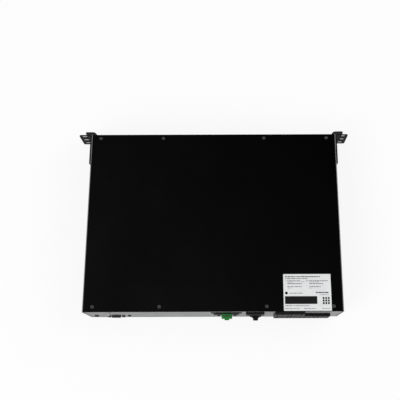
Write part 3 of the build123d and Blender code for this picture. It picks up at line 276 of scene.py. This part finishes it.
thread_radius = 0.00145
thread_pitch = 0.0005
thread_root = thread_radius - thread_pitch / 2
thread_steps = 28
thread_spare_turns = 2
thread_weld = thread_pitch / 100
thread_in_head = 0.0002
hexagon_width = 0.0055
hexagon_height = 0.002
hexagon_edge = 0.0002
bolt_low, bolt_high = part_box("ground_bolt")
bolt_x = (bolt_low.x + bolt_high.x) / 2
bolt_z = (bolt_low.z + bolt_high.z) / 2


def bare_selection():
    """Leaves edit mode and deselects everything."""
    if bpy.context.object and bpy.context.object.mode != "OBJECT":
        bpy.ops.object.mode_set(mode="OBJECT")
    bpy.ops.object.select_all(action="DESELECT")


def edit_all():
    """Edit mode on the active piece, with all of it selected."""
    bpy.ops.object.mode_set(mode="EDIT")
    bpy.ops.mesh.select_all(action="SELECT")


def joined(pieces, name):
    """Several meshes as one, at the origin."""
    bare_selection()
    for piece in pieces:
        piece.select_set(True)
    bpy.context.view_layer.objects.active = pieces[0]
    if len(pieces) > 1:
        bpy.ops.object.join()
    bpy.ops.object.transform_apply(location=True, rotation=True, scale=True)
    piece = bpy.context.object
    piece.name = piece.data.name = name
    return piece


def finished(piece, material, body):
    """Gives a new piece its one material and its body."""
    piece.data.materials.clear()
    piece.data.materials.append(material)
    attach(piece, body)
    return piece


def hexagon_head():
    """Head with its edges broken."""
    bare_selection()
    bpy.ops.mesh.primitive_cylinder_add(
        vertices=6, radius=hexagon_width / math.sqrt(3), depth=hexagon_height,
        location=(bolt_x, bolt_low.y + hexagon_height / 2, bolt_z), rotation=(math.pi / 2, 0, 0),
    )
    edit_all()
    bpy.ops.mesh.bevel(offset=hexagon_edge, segments=2, affect="EDGES")
    bpy.ops.object.mode_set(mode="OBJECT")
    return bpy.context.object


def bolt_thread():
    """Thread turned from one tooth of its profile, and cut square at both ends."""
    bare_selection()
    start = bolt_low.y + hexagon_height - thread_in_head
    bpy.ops.mesh.primitive_circle_add(
        vertices=4, radius=thread_pitch / 2, location=(bolt_x, start - thread_pitch, bolt_z)
    )
    thread = bpy.context.object
    edit_all()
    bpy.ops.transform.translate(value=(thread_root, 0, 0))
    bpy.ops.mesh.select_all(action="DESELECT")
    bpy.ops.object.mode_set(mode="OBJECT")
    inner = min(thread.data.vertices, key=lambda vertex: vertex.co.x)
    inner.select = True
    bpy.ops.object.mode_set(mode="EDIT")
    bpy.ops.mesh.delete(type="VERT")
    bpy.ops.object.mode_set(mode="OBJECT")
    turn = thread.modifiers.new("turn", "SCREW")
    turn.axis = "Y"
    turn.screw_offset = thread_pitch
    turn.iterations = math.ceil((bolt_high.y - start) / thread_pitch) + thread_spare_turns
    turn.steps = turn.render_steps = thread_steps
    turn.use_merge_vertices = True
    turn.merge_threshold = thread_weld
    bpy.ops.object.modifier_apply(modifier="turn")
    bpy.ops.object.transform_apply(location=True, rotation=True, scale=True)
    for y, way in ((start, -1), (bolt_high.y, 1)):
        edit_all()
        bpy.ops.mesh.bisect(
            plane_co=(bolt_x, y, bolt_z), plane_no=(0, way, 0), use_fill=True, clear_outer=True
        )
        bpy.ops.object.mode_set(mode="OBJECT")
    edit_all()
    bpy.ops.mesh.remove_doubles(threshold=thread_weld)
    bpy.ops.mesh.normals_make_consistent(inside=False)
    bpy.ops.object.mode_set(mode="OBJECT")
    return thread


ground_bolt = joined([hexagon_head(), bolt_thread()], "ground_bolt_turned")
finished(ground_bolt, bright_plating, "case")
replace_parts(ground_bolt, "ground_bolt")


# Cover, front panel, rack brackets and card plate
# Folded steel sheet, powder-coated in matt black with a very fine orange peel, thin on the cut edges. Flush
# screws hold the cover to the tray. The card's plate and cradle have the brackets' coat; on the cradle it is
# painted shade in the bay opening above the plate. The folds carry a painted highlight, the cover's tone is a
# painted light growing towards +X and the rear, and the brackets' rubbed edges are partly a painted
# highlight.

coat_black = (0.0003, 0.0003, 0.00033, 1)
# Painted light: the cover grows lighter towards +X and the rear, broken up by clouds.
coat_painted_light = (0.0048, 0.0048, 0.005, 1)
# Painted highlight along the folds of the cover and front panel.
coat_fold_highlight = (0.28, 0.28, 0.283, 1)
coat_rubbed = (0.014, 0.014, 0.0145, 1)
coat_gloss = 0.012
# The way the cover's painted light grows.
coat_painted_light_lean = (1.6, 1.5)
bracket_black = (0.003, 0.003, 0.0032, 1)
bracket_dusty = (0.008, 0.008, 0.0084, 1)
# Painted highlight along the brackets' folds.
bracket_fold_highlight = (0.03, 0.03, 0.031, 1)
# Rubbed edges of the brackets, partly wear and partly a painted highlight.
bracket_rubbed_and_highlight = (0.05, 0.05, 0.052, 1)
bracket_gloss = 0.05


def fold_highlight_mask(tree):
    """Mask of the painted highlight on the folds: 1 along folds that run between a level face and an upright
    one, and 0 on both faces.
    """
    facing = tree.nodes.new("ShaderNodeNewGeometry")
    parts = tree.nodes.new("ShaderNodeSeparateXYZ")
    tree.links.new(facing.outputs["True Normal"], parts.inputs["Vector"])
    sideways = sum_of(tree, "ABSOLUTE", parts.outputs["X"], 0)
    limits = add(tree, "ShaderNodeMapRange", From_Min=0.1, From_Max=0.35)
    tree.links.new(sum_of(tree, "MULTIPLY", sideways, parts.outputs["Z"]), limits.inputs["Value"])
    return limits.outputs["Result"]


def dust_and_painted_light_share(tree, lean):
    """Share of the lighter tone from 0 to 1: cloudy, with painted light that grows the way that lean points.
    """
    place = tree.nodes.new("ShaderNodeSeparateXYZ")
    tree.links.new(object_place(tree), place.inputs["Vector"])
    along = sum_of(tree, "MULTIPLY", place.outputs["X"], lean[0])
    back = sum_of(tree, "MULTIPLY", place.outputs["Y"], lean[1])
    held = tree.nodes.new("ShaderNodeClamp")
    tree.links.new(sum_of(tree, "ADD", sum_of(tree, "ADD", along, back), 0.5), held.inputs["Value"])
    cloudy = spread(tree, use(tree, "clouds", Size=0.11, Low=0.3, High=0.7), 0.6, 1.0)
    return sum_of(tree, "MULTIPLY", cloudy, held.outputs["Result"])


def powder_coat(name, black, dust_and_painted_light, fold_highlight, rubbed, gloss, lean=(0, 0)):
    """Matt powder coat with orange peel and rubbed edges. Its folds carry a painted highlight, its lighter
    tone is cloudy and painted light where lean points, and on the brackets the rubbed edges are partly a
    painted highlight.
    """
    material, tree, shader = new_finish(name, Specular_IOR_Level=gloss)
    worn = use(tree, "edge_wear", Width=0.0005, Break_Up=0.005)
    colour = blend_colours(tree, dust_and_painted_light_share(tree, lean), black, dust_and_painted_light)
    colour = blend_colours(tree, fold_highlight_mask(tree), colour, fold_highlight)
    peel = use(tree, "grain", Size=0.0011)
    feed(tree, shader, blend_colours(tree, worn, colour, rubbed), spread(tree, peel, 0.42, 0.62))
    raise_surface(tree, shader, peel, distance=0.00004, strength=0.35)
    return material


cover_coat = powder_coat(
    "cover_coat", coat_black, coat_painted_light, coat_fold_highlight, coat_rubbed, coat_gloss, lean=coat_painted_light_lean
)
bracket_coat = powder_coat(
    "bracket_coat", bracket_black, bracket_dusty, bracket_fold_highlight, bracket_rubbed_and_highlight, bracket_gloss
)
dress(cover_coat, "top_cover", "front_panel")
# The cradle's black coat is painted shade in the bay opening above the card's plate.
dress(bracket_coat, "rack_bracket_left", "rack_bracket_right", "card_plate", "card_cradle")


# Black screws
# Case-hardened steel screws with a cross recess, blackened in oil. The rim of each recess shines where the
# driver has turned in it. The serial connector's shell is blackened as well.

oxide_black = (0.02, 0.02, 0.021, 1)
oxide_rubbed = (0.2, 0.2, 0.2, 1)


def black_oxide():
    """Oiled black oxide, rubbed bright at the rims."""
    material, tree, shader = new_finish("black_oxide", Metallic=0.6)
    worn = use(tree, "edge_wear", Width=0.0003, Break_Up=0.002)
    roughness = spread(tree, use(tree, "grain", Size=0.0006), 0.3, 0.5)
    feed(tree, shader, blend_colours(tree, worn, oxide_black, oxide_rubbed), roughness)
    raise_surface(tree, shader, use(tree, "grain", Size=0.0004), distance=0.00001, strength=0.3)
    return material


dress(black_oxide(), "case_screws", "bracket_screws", "card_screws", "serial_shell")


# Label on the cover
# White polyester film stuck to the cover near its rear corner. Its print is plain shapes: rows of short
# dashes, a long dark bar, a dot, and nine small blocks in a square. They are measured in millimetres.

label_white = (0.80, 0.81, 0.81, 1)
label_shaded = (0.72, 0.73, 0.74, 1)
print_ink = (0.005, 0.005, 0.0055, 1)
print_faded = (0.011, 0.011, 0.0115, 1)
millimetre = 0.001
ink_height = 0.00002
ink_corner = 0.00012
dash_shortest = 1.5
dash_longest = 6.0
dash_gap = 0.8
print_rows = (
    (3, 62, 4.5, 1.5), (3.3, 41, 7.7, 1.0), (3.5, 5, 11.5, 0.8), (6.7, 29, 11.5, 1.1),
    (38.5, 41, 11.5, 1.0), (43, 75, 11.5, 1.1), (30, 37, 12.8, 0.5), (7.2, 16, 13.6, 0.6),
    (44, 60, 13.4, 0.5), (6.7, 31, 16.1, 1.0), (44, 67, 16.1, 1.0), (6.7, 31, 21.3, 0.9),
    (43.5, 63, 21.3, 0.9), (7.2, 14, 23.6, 0.5), (43.5, 50, 23.6, 0.5), (9.7, 33, 32.2, 1.0),
    (54.2, 76, 31.2, 1.7), (60.5, 76, 34.9, 0.6), (2.4, 42, 53, 0.8), (2.4, 26, 57.8, 0.7),
    (33.8, 54.3, 57.8, 0.7), (64, 77.5, 57.8, 0.7),
)
print_bar = (2.2, 37.2, 54.1, 13)
print_dot = (4.8, 31.9, 2.4)
blocks_a_side = 3
block_corner = (65.4, 38.7)
block_step = (4.3, 4.25)
block_size = (2.9, 3.3)
label_low, label_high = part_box("rating_label")
uneven = random.Random(12)


def label_film():
    """Semi-matt white film, faintly cloudy."""
    material, tree, shader = new_finish("label_film", Specular_IOR_Level=0.35)
    colour = blend_colours(tree, use(tree, "clouds", Size=0.02), label_white, label_shaded)
    feed(tree, shader, colour, spread(tree, use(tree, "grain", Size=0.002), 0.4, 0.55))
    raise_surface(tree, shader, use(tree, "grain", Size=0.003), distance=0.00002, strength=0.2)
    return material


def printed_black():
    """Flat printed ink with a little mottling."""
    material, tree, shader = new_finish("printed_black", Specular_IOR_Level=0.06)
    mottled = use(tree, "clouds", Size=0.001)
    colour = blend_colours(tree, mottled, print_ink, print_faded)
    feed(tree, shader, colour, spread(tree, mottled, 0.5, 0.65))
    return material


def on_label(along, down):
    """Point on the film, measured from its front corner as it is read from behind."""
    return label_high.x - along * millimetre, label_low.y + down * millimetre, label_high.z


def ink_patch(along, down, width, height):
    """Flat patch of print."""
    bare_selection()
    middle = on_label(along + width / 2, down + height / 2)
    bpy.ops.mesh.primitive_plane_add(size=millimetre, location=middle)
    patch = bpy.context.object
    patch.scale = (width, height, 1)
    return patch


def ink_row(along, end, middle, height):
    """Row of dashes of uneven length, as words run."""
    row = []
    while along < end:
        width = min(uneven.uniform(dash_shortest, dash_longest), end - along)
        row.append(ink_patch(along, middle - height / 2, width, height))
        along += width + dash_gap
    return row


def label_print():
    """All of the print, each patch with rounded corners and the thickness of its ink."""
    patches = [ink_patch(*print_bar)]
    for words in print_rows:
        patches += ink_row(*words)
    for row in range(blocks_a_side):
        for column in range(blocks_a_side):
            along = block_corner[0] + column * block_step[0]
            down = block_corner[1] + row * block_step[1]
            patches.append(ink_patch(along, down, *block_size))
    ink = joined(patches, "label_print")
    edit_all()
    bpy.ops.mesh.bevel(offset=ink_corner, segments=2, affect="VERTICES")
    bare_selection()
    along, down, radius = print_dot
    bpy.ops.mesh.primitive_circle_add(
        vertices=24, radius=radius * millimetre, fill_type="NGON", location=on_label(along, down)
    )
    ink = joined([ink, bpy.context.object], "label_print")
    edit_all()
    bpy.ops.mesh.extrude_region_move(TRANSFORM_OT_translate={"value": (0, 0, ink_height)})
    bpy.ops.mesh.select_all(action="SELECT")
    bpy.ops.mesh.normals_make_consistent(inside=False)
    bpy.ops.object.mode_set(mode="OBJECT")
    return ink


dress(label_film(), "rating_label")
finished(label_print(), printed_black(), "case")


# Black mouldings
# Inlet, breaker, outlets, connector insert, jack, switches, transistors and fan are glass-filled nylon or
# similar, injection-moulded in black with a fine spark-eroded texture. The buttons are a little smoother.

moulded_dark = (0.0028, 0.0028, 0.003, 1)
moulded_light = (0.006, 0.006, 0.0063, 1)
moulded_edge = (0.018, 0.018, 0.0185, 1)


def moulded_black(name, size, gloss):
    """Black moulding with an even texture of a given size."""
    material, tree, shader = new_finish(name, Specular_IOR_Level=gloss)
    worn = use(tree, "edge_wear", Width=0.0003, Break_Up=0.003)
    colour = blend_colours(tree, use(tree, "clouds", Size=0.012), moulded_dark, moulded_light)
    texture = use(tree, "grain", Size=size)
    feed(tree, shader, blend_colours(tree, worn, colour, moulded_edge), spread(tree, texture, 0.4, 0.6))
    raise_surface(tree, shader, texture, distance=0.00003, strength=0.3)
    return material


dress(
    moulded_black("moulded_black", size=0.0005, gloss=0.1),
    "mains_inlet", "breaker_body", "breaker_nut", "outlet_block_four", "outlet_block_two",
    "serial_insert", "sensor_jack", "push_switches", "power_transistors", "fan_frame", "fan_rotor",
)
dress(moulded_black("button_black", size=0.0009, gloss=0.08), "breaker_button", "mute_button", "power_button")


# Contacts
# Blades, tabs and the sockets' contacts are bare brass strip, stamped and folded, and pushed into their
# mouldings.

brass_dark = (0.5, 0.36, 0.14, 1)
brass_light = (0.74, 0.58, 0.3, 1)


def brass_strip():
    """Stamped brass with dull patches."""
    material, tree, shader = new_finish("brass_strip", Metallic=1.0)
    colour = blend_colours(tree, use(tree, "clouds", Size=0.005), brass_dark, brass_light)
    feed(tree, shader, colour, spread(tree, use(tree, "lines", Pitch=0.0003), 0.22, 0.4))
    return material


dress(brass_strip(), "inlet_blades", "breaker_tabs", "outlet_contacts")


# Green terminal
# The header and its plug are moulded in green polyamide. The plug slides into the header and holds three
# wires.

terminal_dark = (0.010, 0.15, 0.023, 1)
terminal_light = (0.020, 0.23, 0.04, 1)
terminal_edge = (0.05, 0.32, 0.08, 1)


def green_moulding():
    """Green moulding, paler at its edges."""
    material, tree, shader = new_finish("green_moulding", Specular_IOR_Level=0.2)
    worn = use(tree, "edge_wear", Width=0.0005, Break_Up=0.003)
    colour = blend_colours(tree, use(tree, "clouds", Size=0.008), terminal_dark, terminal_light)
    texture = use(tree, "grain", Size=0.0006)
    feed(tree, shader, blend_colours(tree, worn, colour, terminal_edge), spread(tree, texture, 0.32, 0.5))
    raise_surface(tree, shader, texture, distance=0.00002, strength=0.25)
    return material


dress(green_moulding(), "terminal_header", "terminal_plug")


# Circuit boards
# Glass-fibre board with a green solder mask, standing on hexagonal posts. Tracks under the mask show as
# slightly raised paler lines.

mask_green = (0.008, 0.075, 0.022, 1)
track_green = (0.02, 0.14, 0.04, 1)
track_density = 90.0
track_width = 0.06
track_offset = 0.37


def circuit_board():
    """Solder mask over tracks that run both ways."""
    material, tree, shader = new_finish("circuit_board", Specular_IOR_Level=0.5)
    tracks = add(
        tree, "ShaderNodeTexBrick", Scale=track_density, Mortar_Size=track_width, Mortar_Smooth=0.1
    )
    tracks.offset = track_offset
    tree.links.new(object_place(tree), tracks.inputs["Vector"])
    colour = blend_colours(tree, tracks.outputs["Fac"], mask_green, track_green)
    feed(tree, shader, colour, spread(tree, use(tree, "grain", Size=0.002), 0.2, 0.35))
    raise_surface(tree, shader, tracks.outputs["Fac"], distance=0.00004, strength=0.5)
    return material


dress(circuit_board(), "card_board", "interface_board", "display_board", "main_board")


# Display and lights
# A smoked, polished window fills the opening in the front panel. Behind it is a grey display, and four clear
# light pipes carry the board's lights to the front.

window_dark = (0.006, 0.006, 0.007, 1)
window_light = (0.01, 0.01, 0.011, 1)
pipe_milky = (0.75, 0.82, 0.76, 1)
pipe_clear = (0.86, 0.9, 0.87, 1)
cell_dark = (0.16, 0.19, 0.16, 1)
cell_light = (0.2, 0.235, 0.2, 1)
cell_density = 700.0
acrylic_ior = 1.49


def smoked_window():
    """Polished smoked plastic with faint wiping marks."""
    material, tree, shader = new_finish("smoked_window", IOR=acrylic_ior, Specular_IOR_Level=0.5)
    marks = use(tree, "clouds", Size=0.015)
    colour = blend_colours(tree, marks, window_dark, window_light)
    feed(tree, shader, colour, spread(tree, marks, 0.05, 0.16))
    return material


def clear_pipe():
    """Clear light pipe, slightly milky."""
    material, tree, shader = new_finish("clear_pipe", IOR=acrylic_ior, Transmission_Weight=0.6)
    milky = use(tree, "clouds", Size=0.004)
    feed(tree, shader, blend_colours(tree, milky, pipe_milky, pipe_clear), spread(tree, milky, 0.12, 0.3))
    return material


def display_glass():
    """Grey display cells behind glass."""
    material, tree, shader = new_finish("display_glass", Specular_IOR_Level=0.5, Coat_Weight=0.3)
    cells = add(tree, "ShaderNodeTexChecker", Scale=cell_density)
    tree.links.new(object_place(tree), cells.inputs["Vector"])
    colour = blend_colours(tree, cells.outputs["Fac"], cell_dark, cell_light)
    feed(tree, shader, colour, spread(tree, use(tree, "clouds", Size=0.01), 0.15, 0.3))
    return material


dress(smoked_window(), "display_window")
dress(clear_pipe(), "status_lights")
dress(display_glass(), "display_module")


# Batteries and their pads
# Two sealed lead batteries in grey moulded cases lie on soft foam pads, each held down by a strap.

battery_dark = (0.035, 0.037, 0.041, 1)
battery_light = (0.055, 0.057, 0.062, 1)
battery_edge = (0.1, 0.1, 0.105, 1)
# Painted shade in the hollows of the open cells.
foam_hollow_shade = (0.008, 0.008, 0.008, 1)
foam_skin = (0.035, 0.035, 0.035, 1)
foam_density = 900.0


def battery_case():
    """Grey moulded case with a coarse texture."""
    material, tree, shader = new_finish("battery_case", Specular_IOR_Level=0.35)
    worn = use(tree, "edge_wear", Width=0.0008, Break_Up=0.006)
    colour = blend_colours(tree, use(tree, "clouds", Size=0.03), battery_dark, battery_light)
    texture = use(tree, "grain", Size=0.0012)
    feed(tree, shader, blend_colours(tree, worn, colour, battery_edge), spread(tree, texture, 0.45, 0.65))
    raise_surface(tree, shader, texture, distance=0.00008, strength=0.4)
    return material


def pad_foam():
    """Closed-cell foam with open cells at the cut faces, whose hollows carry painted shade."""
    material, tree, shader = new_finish("pad_foam", Specular_IOR_Level=0.2)
    cells = add(tree, "ShaderNodeTexVoronoi", Scale=foam_density)
    tree.links.new(object_place(tree), cells.inputs["Vector"])
    depth = cells.outputs["Distance"]
    feed(tree, shader, blend_colours(tree, depth, foam_hollow_shade, foam_skin), spread(tree, depth, 0.75, 0.95))
    raise_surface(tree, shader, depth, distance=0.0002, strength=0.6)
    return material


dress(battery_case(), "battery_front", "battery_rear")
dress(pad_foam(), "battery_pads")


# Transformer
# Varnished steel plates are stacked along the unit's depth, and the coils round the middle leg are wrapped in
# yellow polyester tape.

plate_dark = (0.045, 0.035, 0.03, 1)
plate_light = (0.09, 0.075, 0.065, 1)
plate_edge = (0.13, 0.12, 0.115, 1)
plate_thickness = 0.0005
tape_under = (0.52, 0.36, 0.07, 1)
tape_over = (0.7, 0.52, 0.14, 1)
tape_width = 0.011
bands_a_metre = 20 / (2 * math.pi)


def banded(tree, axis, pitch):
    """Bands across one axis, from 0 to 1. A wave texture has bands_a_metre of them at a scale of 1."""
    stretch = tuple(1.0 if n == axis else 0.0 for n in range(3))
    wave = add(tree, "ShaderNodeTexWave", Scale=1 / pitch / bands_a_metre, Distortion=0.0)
    wave.bands_direction = "XYZ"[axis]
    wave.wave_profile = "SAW"
    tree.links.new(object_place(tree, stretch), wave.inputs["Vector"])
    return wave.outputs["Fac"]


def core_plates():
    """Edges of varnished plates."""
    material, tree, shader = new_finish("core_plates", Metallic=0.5)
    plates = banded(tree, 1, plate_thickness)
    varnish = use(tree, "clouds", Size=0.02)
    colour = blend_colours(tree, varnish, plate_dark, plate_light)
    feed(tree, shader, blend_colours(tree, plates, colour, plate_edge), spread(tree, varnish, 0.3, 0.6))
    raise_surface(tree, shader, plates, distance=0.0001, strength=0.4)
    return material


def coil_tape():
    """Overlapping turns of yellow tape."""
    material, tree, shader = new_finish("coil_tape", Specular_IOR_Level=0.5)
    turns = banded(tree, 2, tape_width)
    roughness = spread(tree, use(tree, "clouds", Size=0.008), 0.25, 0.45)
    feed(tree, shader, blend_colours(tree, turns, tape_under, tape_over), roughness)
    raise_surface(tree, shader, turns, distance=0.0002, strength=0.5)
    return material


dress(core_plates(), "transformer_core")
dress(coil_tape(), "transformer_windings")


# Parts on the main board
# Extruded aluminium heatsinks, can capacitors in shrunk sleeves and sealed relays, all soldered to the board
# or screwed to it.

aluminium_dark = (0.52, 0.53, 0.54, 1)
aluminium_light = (0.68, 0.69, 0.7, 1)
sleeve_dark = (0.006, 0.012, 0.06, 1)
sleeve_light = (0.01, 0.02, 0.09, 1)
relay_dark = (0.01, 0.035, 0.16, 1)
relay_light = (0.018, 0.055, 0.22, 1)


def extruded_aluminium():
    """Bare extrusion with die lines along its length."""
    material, tree, shader = new_finish("extruded_aluminium", Metallic=1.0)
    lines = use(tree, "lines", Pitch=0.0006)
    colour = blend_colours(tree, lines, aluminium_dark, aluminium_light)
    feed(tree, shader, colour, spread(tree, lines, 0.3, 0.5))
    raise_surface(tree, shader, lines, distance=0.00002, strength=0.4)
    return material


def plain_moulding(name, dark, light):
    """A coloured moulding or sleeve with slight mottling."""
    material, tree, shader = new_finish(name, Specular_IOR_Level=0.45)
    texture = use(tree, "grain", Size=0.0008)
    colour = blend_colours(tree, use(tree, "clouds", Size=0.01), dark, light)
    feed(tree, shader, colour, spread(tree, texture, 0.25, 0.45))
    raise_surface(tree, shader, texture, distance=0.00002, strength=0.2)
    return material


dress(extruded_aluminium(), "heatsinks")
dress(plain_moulding("capacitor_sleeve", sleeve_dark, sleeve_light), "bulk_capacitors")
dress(plain_moulding("relay_case", relay_dark, relay_light), "board_relays")


# Filter choke
# A ring of coated iron powder carries two windings of thick enamelled copper wire, one on each side, with a
# gap between them. It lies on the board and is held by its own leads.

ring_dark = (0.02, 0.09, 0.06, 1)
ring_light = (0.03, 0.13, 0.09, 1)
ring_edge = (0.09, 0.2, 0.15, 1)
copper_dark = (0.38, 0.14, 0.05, 1)
copper_light = (0.58, 0.25, 0.1, 1)
choke_low, choke_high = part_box("filter_choke")
choke_centre = tuple((choke_low + choke_high) / 2)
choke_thickness = choke_high.z - choke_low.z
choke_ring = (choke_high.x - choke_low.x - choke_thickness) / 2
choke_wire = 0.0011
choke_turns = 12
choke_first = math.radians(20)
choke_step = math.radians(140) / (choke_turns - 1)


def powder_ring():
    """Green coating over the powder ring, thinner on its corners."""
    material, tree, shader = new_finish("powder_ring", Specular_IOR_Level=0.4)
    worn = use(tree, "edge_wear", Width=0.0005, Break_Up=0.003)
    colour = blend_colours(tree, use(tree, "clouds", Size=0.005), ring_dark, ring_light)
    roughness = spread(tree, use(tree, "grain", Size=0.001), 0.35, 0.55)
    feed(tree, shader, blend_colours(tree, worn, colour, ring_edge), roughness)
    raise_surface(tree, shader, use(tree, "grain", Size=0.0008), distance=0.00003, strength=0.3)
    return material


def enamelled_copper():
    """Copper wire under clear enamel."""
    material, tree, shader = new_finish("enamelled_copper", Metallic=0.85, Coat_Weight=0.5)
    patches = use(tree, "clouds", Size=0.003)
    colour = blend_colours(tree, patches, copper_dark, copper_light)
    feed(tree, shader, colour, spread(tree, patches, 0.2, 0.35))
    return material


def choke_core():
    """Ring with a nearly square section, made from a short open tube given a wall."""
    half = choke_thickness / 2 - choke_wire
    bare_selection()
    bpy.ops.mesh.primitive_cylinder_add(
        vertices=64, radius=choke_ring + half, depth=2 * half, end_fill_type="NOTHING", location=choke_centre
    )
    wall = bpy.context.object.modifiers.new("wall", "SOLIDIFY")
    wall.thickness = 2 * half
    wall.offset = -1
    bpy.ops.object.modifier_apply(modifier="wall")
    soften = bpy.context.object.modifiers.new("soften", "BEVEL")
    soften.width = half / 3
    soften.segments = 3
    soften.angle_limit = math.radians(40)
    bpy.ops.object.modifier_apply(modifier="soften")
    return joined([bpy.context.object], "choke_core")


def choke_windings():
    """Both windings, from one turn copied round the ring."""
    bare_selection()
    x, y, z = choke_centre
    bpy.ops.mesh.primitive_torus_add(
        location=(x + choke_ring, y, z), rotation=(math.pi / 2, 0, 0),
        major_radius=(choke_thickness - choke_wire) / 2, minor_radius=choke_wire / 2,
        major_segments=24, minor_segments=8,
    )
    bpy.ops.transform.rotate(value=choke_first, orient_axis="Z", center_override=choke_centre)
    turns = [bpy.context.object]
    for n in range(1, 2 * choke_turns):
        bpy.ops.object.duplicate(linked=False)
        across = math.pi - choke_step * (choke_turns - 1) if n == choke_turns else choke_step
        bpy.ops.transform.rotate(value=across, orient_axis="Z", center_override=choke_centre)
        turns.append(bpy.context.object)
    return joined(turns, "choke_windings")


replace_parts(finished(choke_core(), powder_ring(), "case"), "filter_choke")
finished(choke_windings(), enamelled_copper(), "case")


# Leads inside the case
# Stranded copper in PVC: red and black from the batteries, and brown, blue and green for the mains. Each one
# ends on its tab or board pad.

lead_red = (0.33, 0.01, 0.01, 1)
lead_black = (0.008, 0.008, 0.008, 1)
lead_blue = (0.01, 0.05, 0.26, 1)
lead_green = (0.04, 0.22, 0.05, 1)
lead_brown = (0.09, 0.035, 0.014, 1)
lead_apart = 0.0035
battery_side = -0.03
black_side = -0.004


def side_of(tree, coordinate, limit):
    """1 where a coordinate is over the limit."""
    return sum_of(tree, "GREATER_THAN", coordinate, limit)


def lead_insulation():
    """Each lead's colour follows from where it lies."""
    material, tree, shader = new_finish("lead_insulation", Specular_IOR_Level=0.4)
    place = tree.nodes.new("ShaderNodeSeparateXYZ")
    tree.links.new(object_place(tree), place.inputs["Vector"])
    inlet_low, inlet_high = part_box("mains_inlet")
    middle = (inlet_low.x + inlet_high.x) / 2
    x = place.outputs["X"]
    mains = blend_colours(tree, side_of(tree, x, middle - lead_apart), lead_blue, lead_green)
    mains = blend_colours(tree, side_of(tree, x, middle + lead_apart), mains, lead_brown)
    battery = blend_colours(tree, side_of(tree, place.outputs["Y"], black_side), lead_red, lead_black)
    colour = blend_colours(tree, side_of(tree, x, battery_side), mains, battery)
    feed(tree, shader, colour, spread(tree, use(tree, "grain", Size=0.002), 0.35, 0.55))
    return material


dress(lead_insulation(), "inner_leads")


# Studio
# A plain pale floor under a white sky, two large soft lamps, and the camera above and behind the unit.

floor_width = 8.0
floor_gap = 0.0002
floor_dark = (0.95, 0.95, 0.95, 1)
floor_light = (0.97, 0.97, 0.97, 1)
floor_glow = 0.85
sky_as_light = 0.5
sky_as_seen = 1.0
key_place = (1.5, 1.2, 1.9)
key_size = 1.4
key_power = 28
fill_place = (-1.7, -0.4, 1.7)
fill_size = 1.6
fill_power = 18
camera_place = (-0.0294, 0.2716, 1.2115)
camera_degrees = (16.1, 0.03, 179.8)
camera_sensor = 36
camera_lens = 60.0
camera_shift = (-0.07625, -0.02375)


def white_to_the_eye(tree):
    """1 for rays from the camera, from a reflection or through glass."""
    path = tree.nodes.new("ShaderNodeLightPath")
    seen = sum_of(tree, "MAXIMUM", path.outputs["Is Camera Ray"], path.outputs["Is Glossy Ray"])
    return sum_of(tree, "MAXIMUM", seen, path.outputs["Is Transmission Ray"])


def studio_floor():
    """Pale floor that keeps a soft shadow."""
    bare_selection()
    bpy.ops.mesh.primitive_plane_add(size=floor_width, location=(0, 0, -floor_gap))
    floor = bpy.context.object
    floor.name = "studio_floor"
    material, tree, shader = new_finish("studio_floor", Specular_IOR_Level=0.0, Roughness=0.9)
    tone = blend_colours(tree, use(tree, "clouds", Size=0.6), floor_dark, floor_light)
    tree.links.new(tone, shader.inputs["Base Color"])
    glow = add(tree, "ShaderNodeEmission", Color=(1, 1, 1, 1), Strength=1.0)
    mix = tree.nodes.new("ShaderNodeMixShader")
    tree.links.new(sum_of(tree, "MULTIPLY", white_to_the_eye(tree), floor_glow), mix.inputs["Fac"])
    tree.links.new(shader.outputs["BSDF"], mix.inputs[1])
    tree.links.new(glow.outputs["Emission"], mix.inputs[2])
    tree.links.new(mix.outputs["Shader"], tree.nodes["Material Output"].inputs["Surface"])
    floor.data.materials.append(material)


def studio_sky():
    """White where it is seen or reflected, and a softer grey as light."""
    world = bpy.data.worlds.new("studio_sky")
    bpy.context.scene.world = world
    world.use_nodes = True
    tree = world.node_tree
    ground = tree.nodes["Background"]
    strength = spread(tree, white_to_the_eye(tree), sky_as_light, sky_as_seen)
    tree.links.new(strength, ground.inputs["Strength"])
    ground.inputs["Color"].default_value = (1, 1, 1, 1)


def soft_lamp(name, place, aim, size, power):
    """Square area lamp aimed at a point."""
    bare_selection()
    bpy.ops.object.light_add(type="AREA", location=place)
    lamp = bpy.context.object
    lamp.name = name
    lamp.data.size = size
    lamp.data.energy = power
    away = lamp.location - aim
    lamp.rotation_euler = away.to_track_quat("Z", "Y").to_euler()


studio_floor()
studio_sky()
centre = (cad_box[0] + cad_box[1]) / 2
soft_lamp("key_lamp", key_place, centre, key_size, key_power)
soft_lamp("fill_lamp", fill_place, centre, fill_size, fill_power)

bpy.ops.object.camera_add(location=camera_place)
camera = bpy.context.object
camera.rotation_euler = [math.radians(angle) for angle in camera_degrees]
camera.data.sensor_width = camera_sensor
camera.data.lens = camera_lens
camera.data.shift_x, camera.data.shift_y = camera_shift
bpy.context.scene.camera = camera
bpy.context.scene.view_settings.view_transform = "Standard"
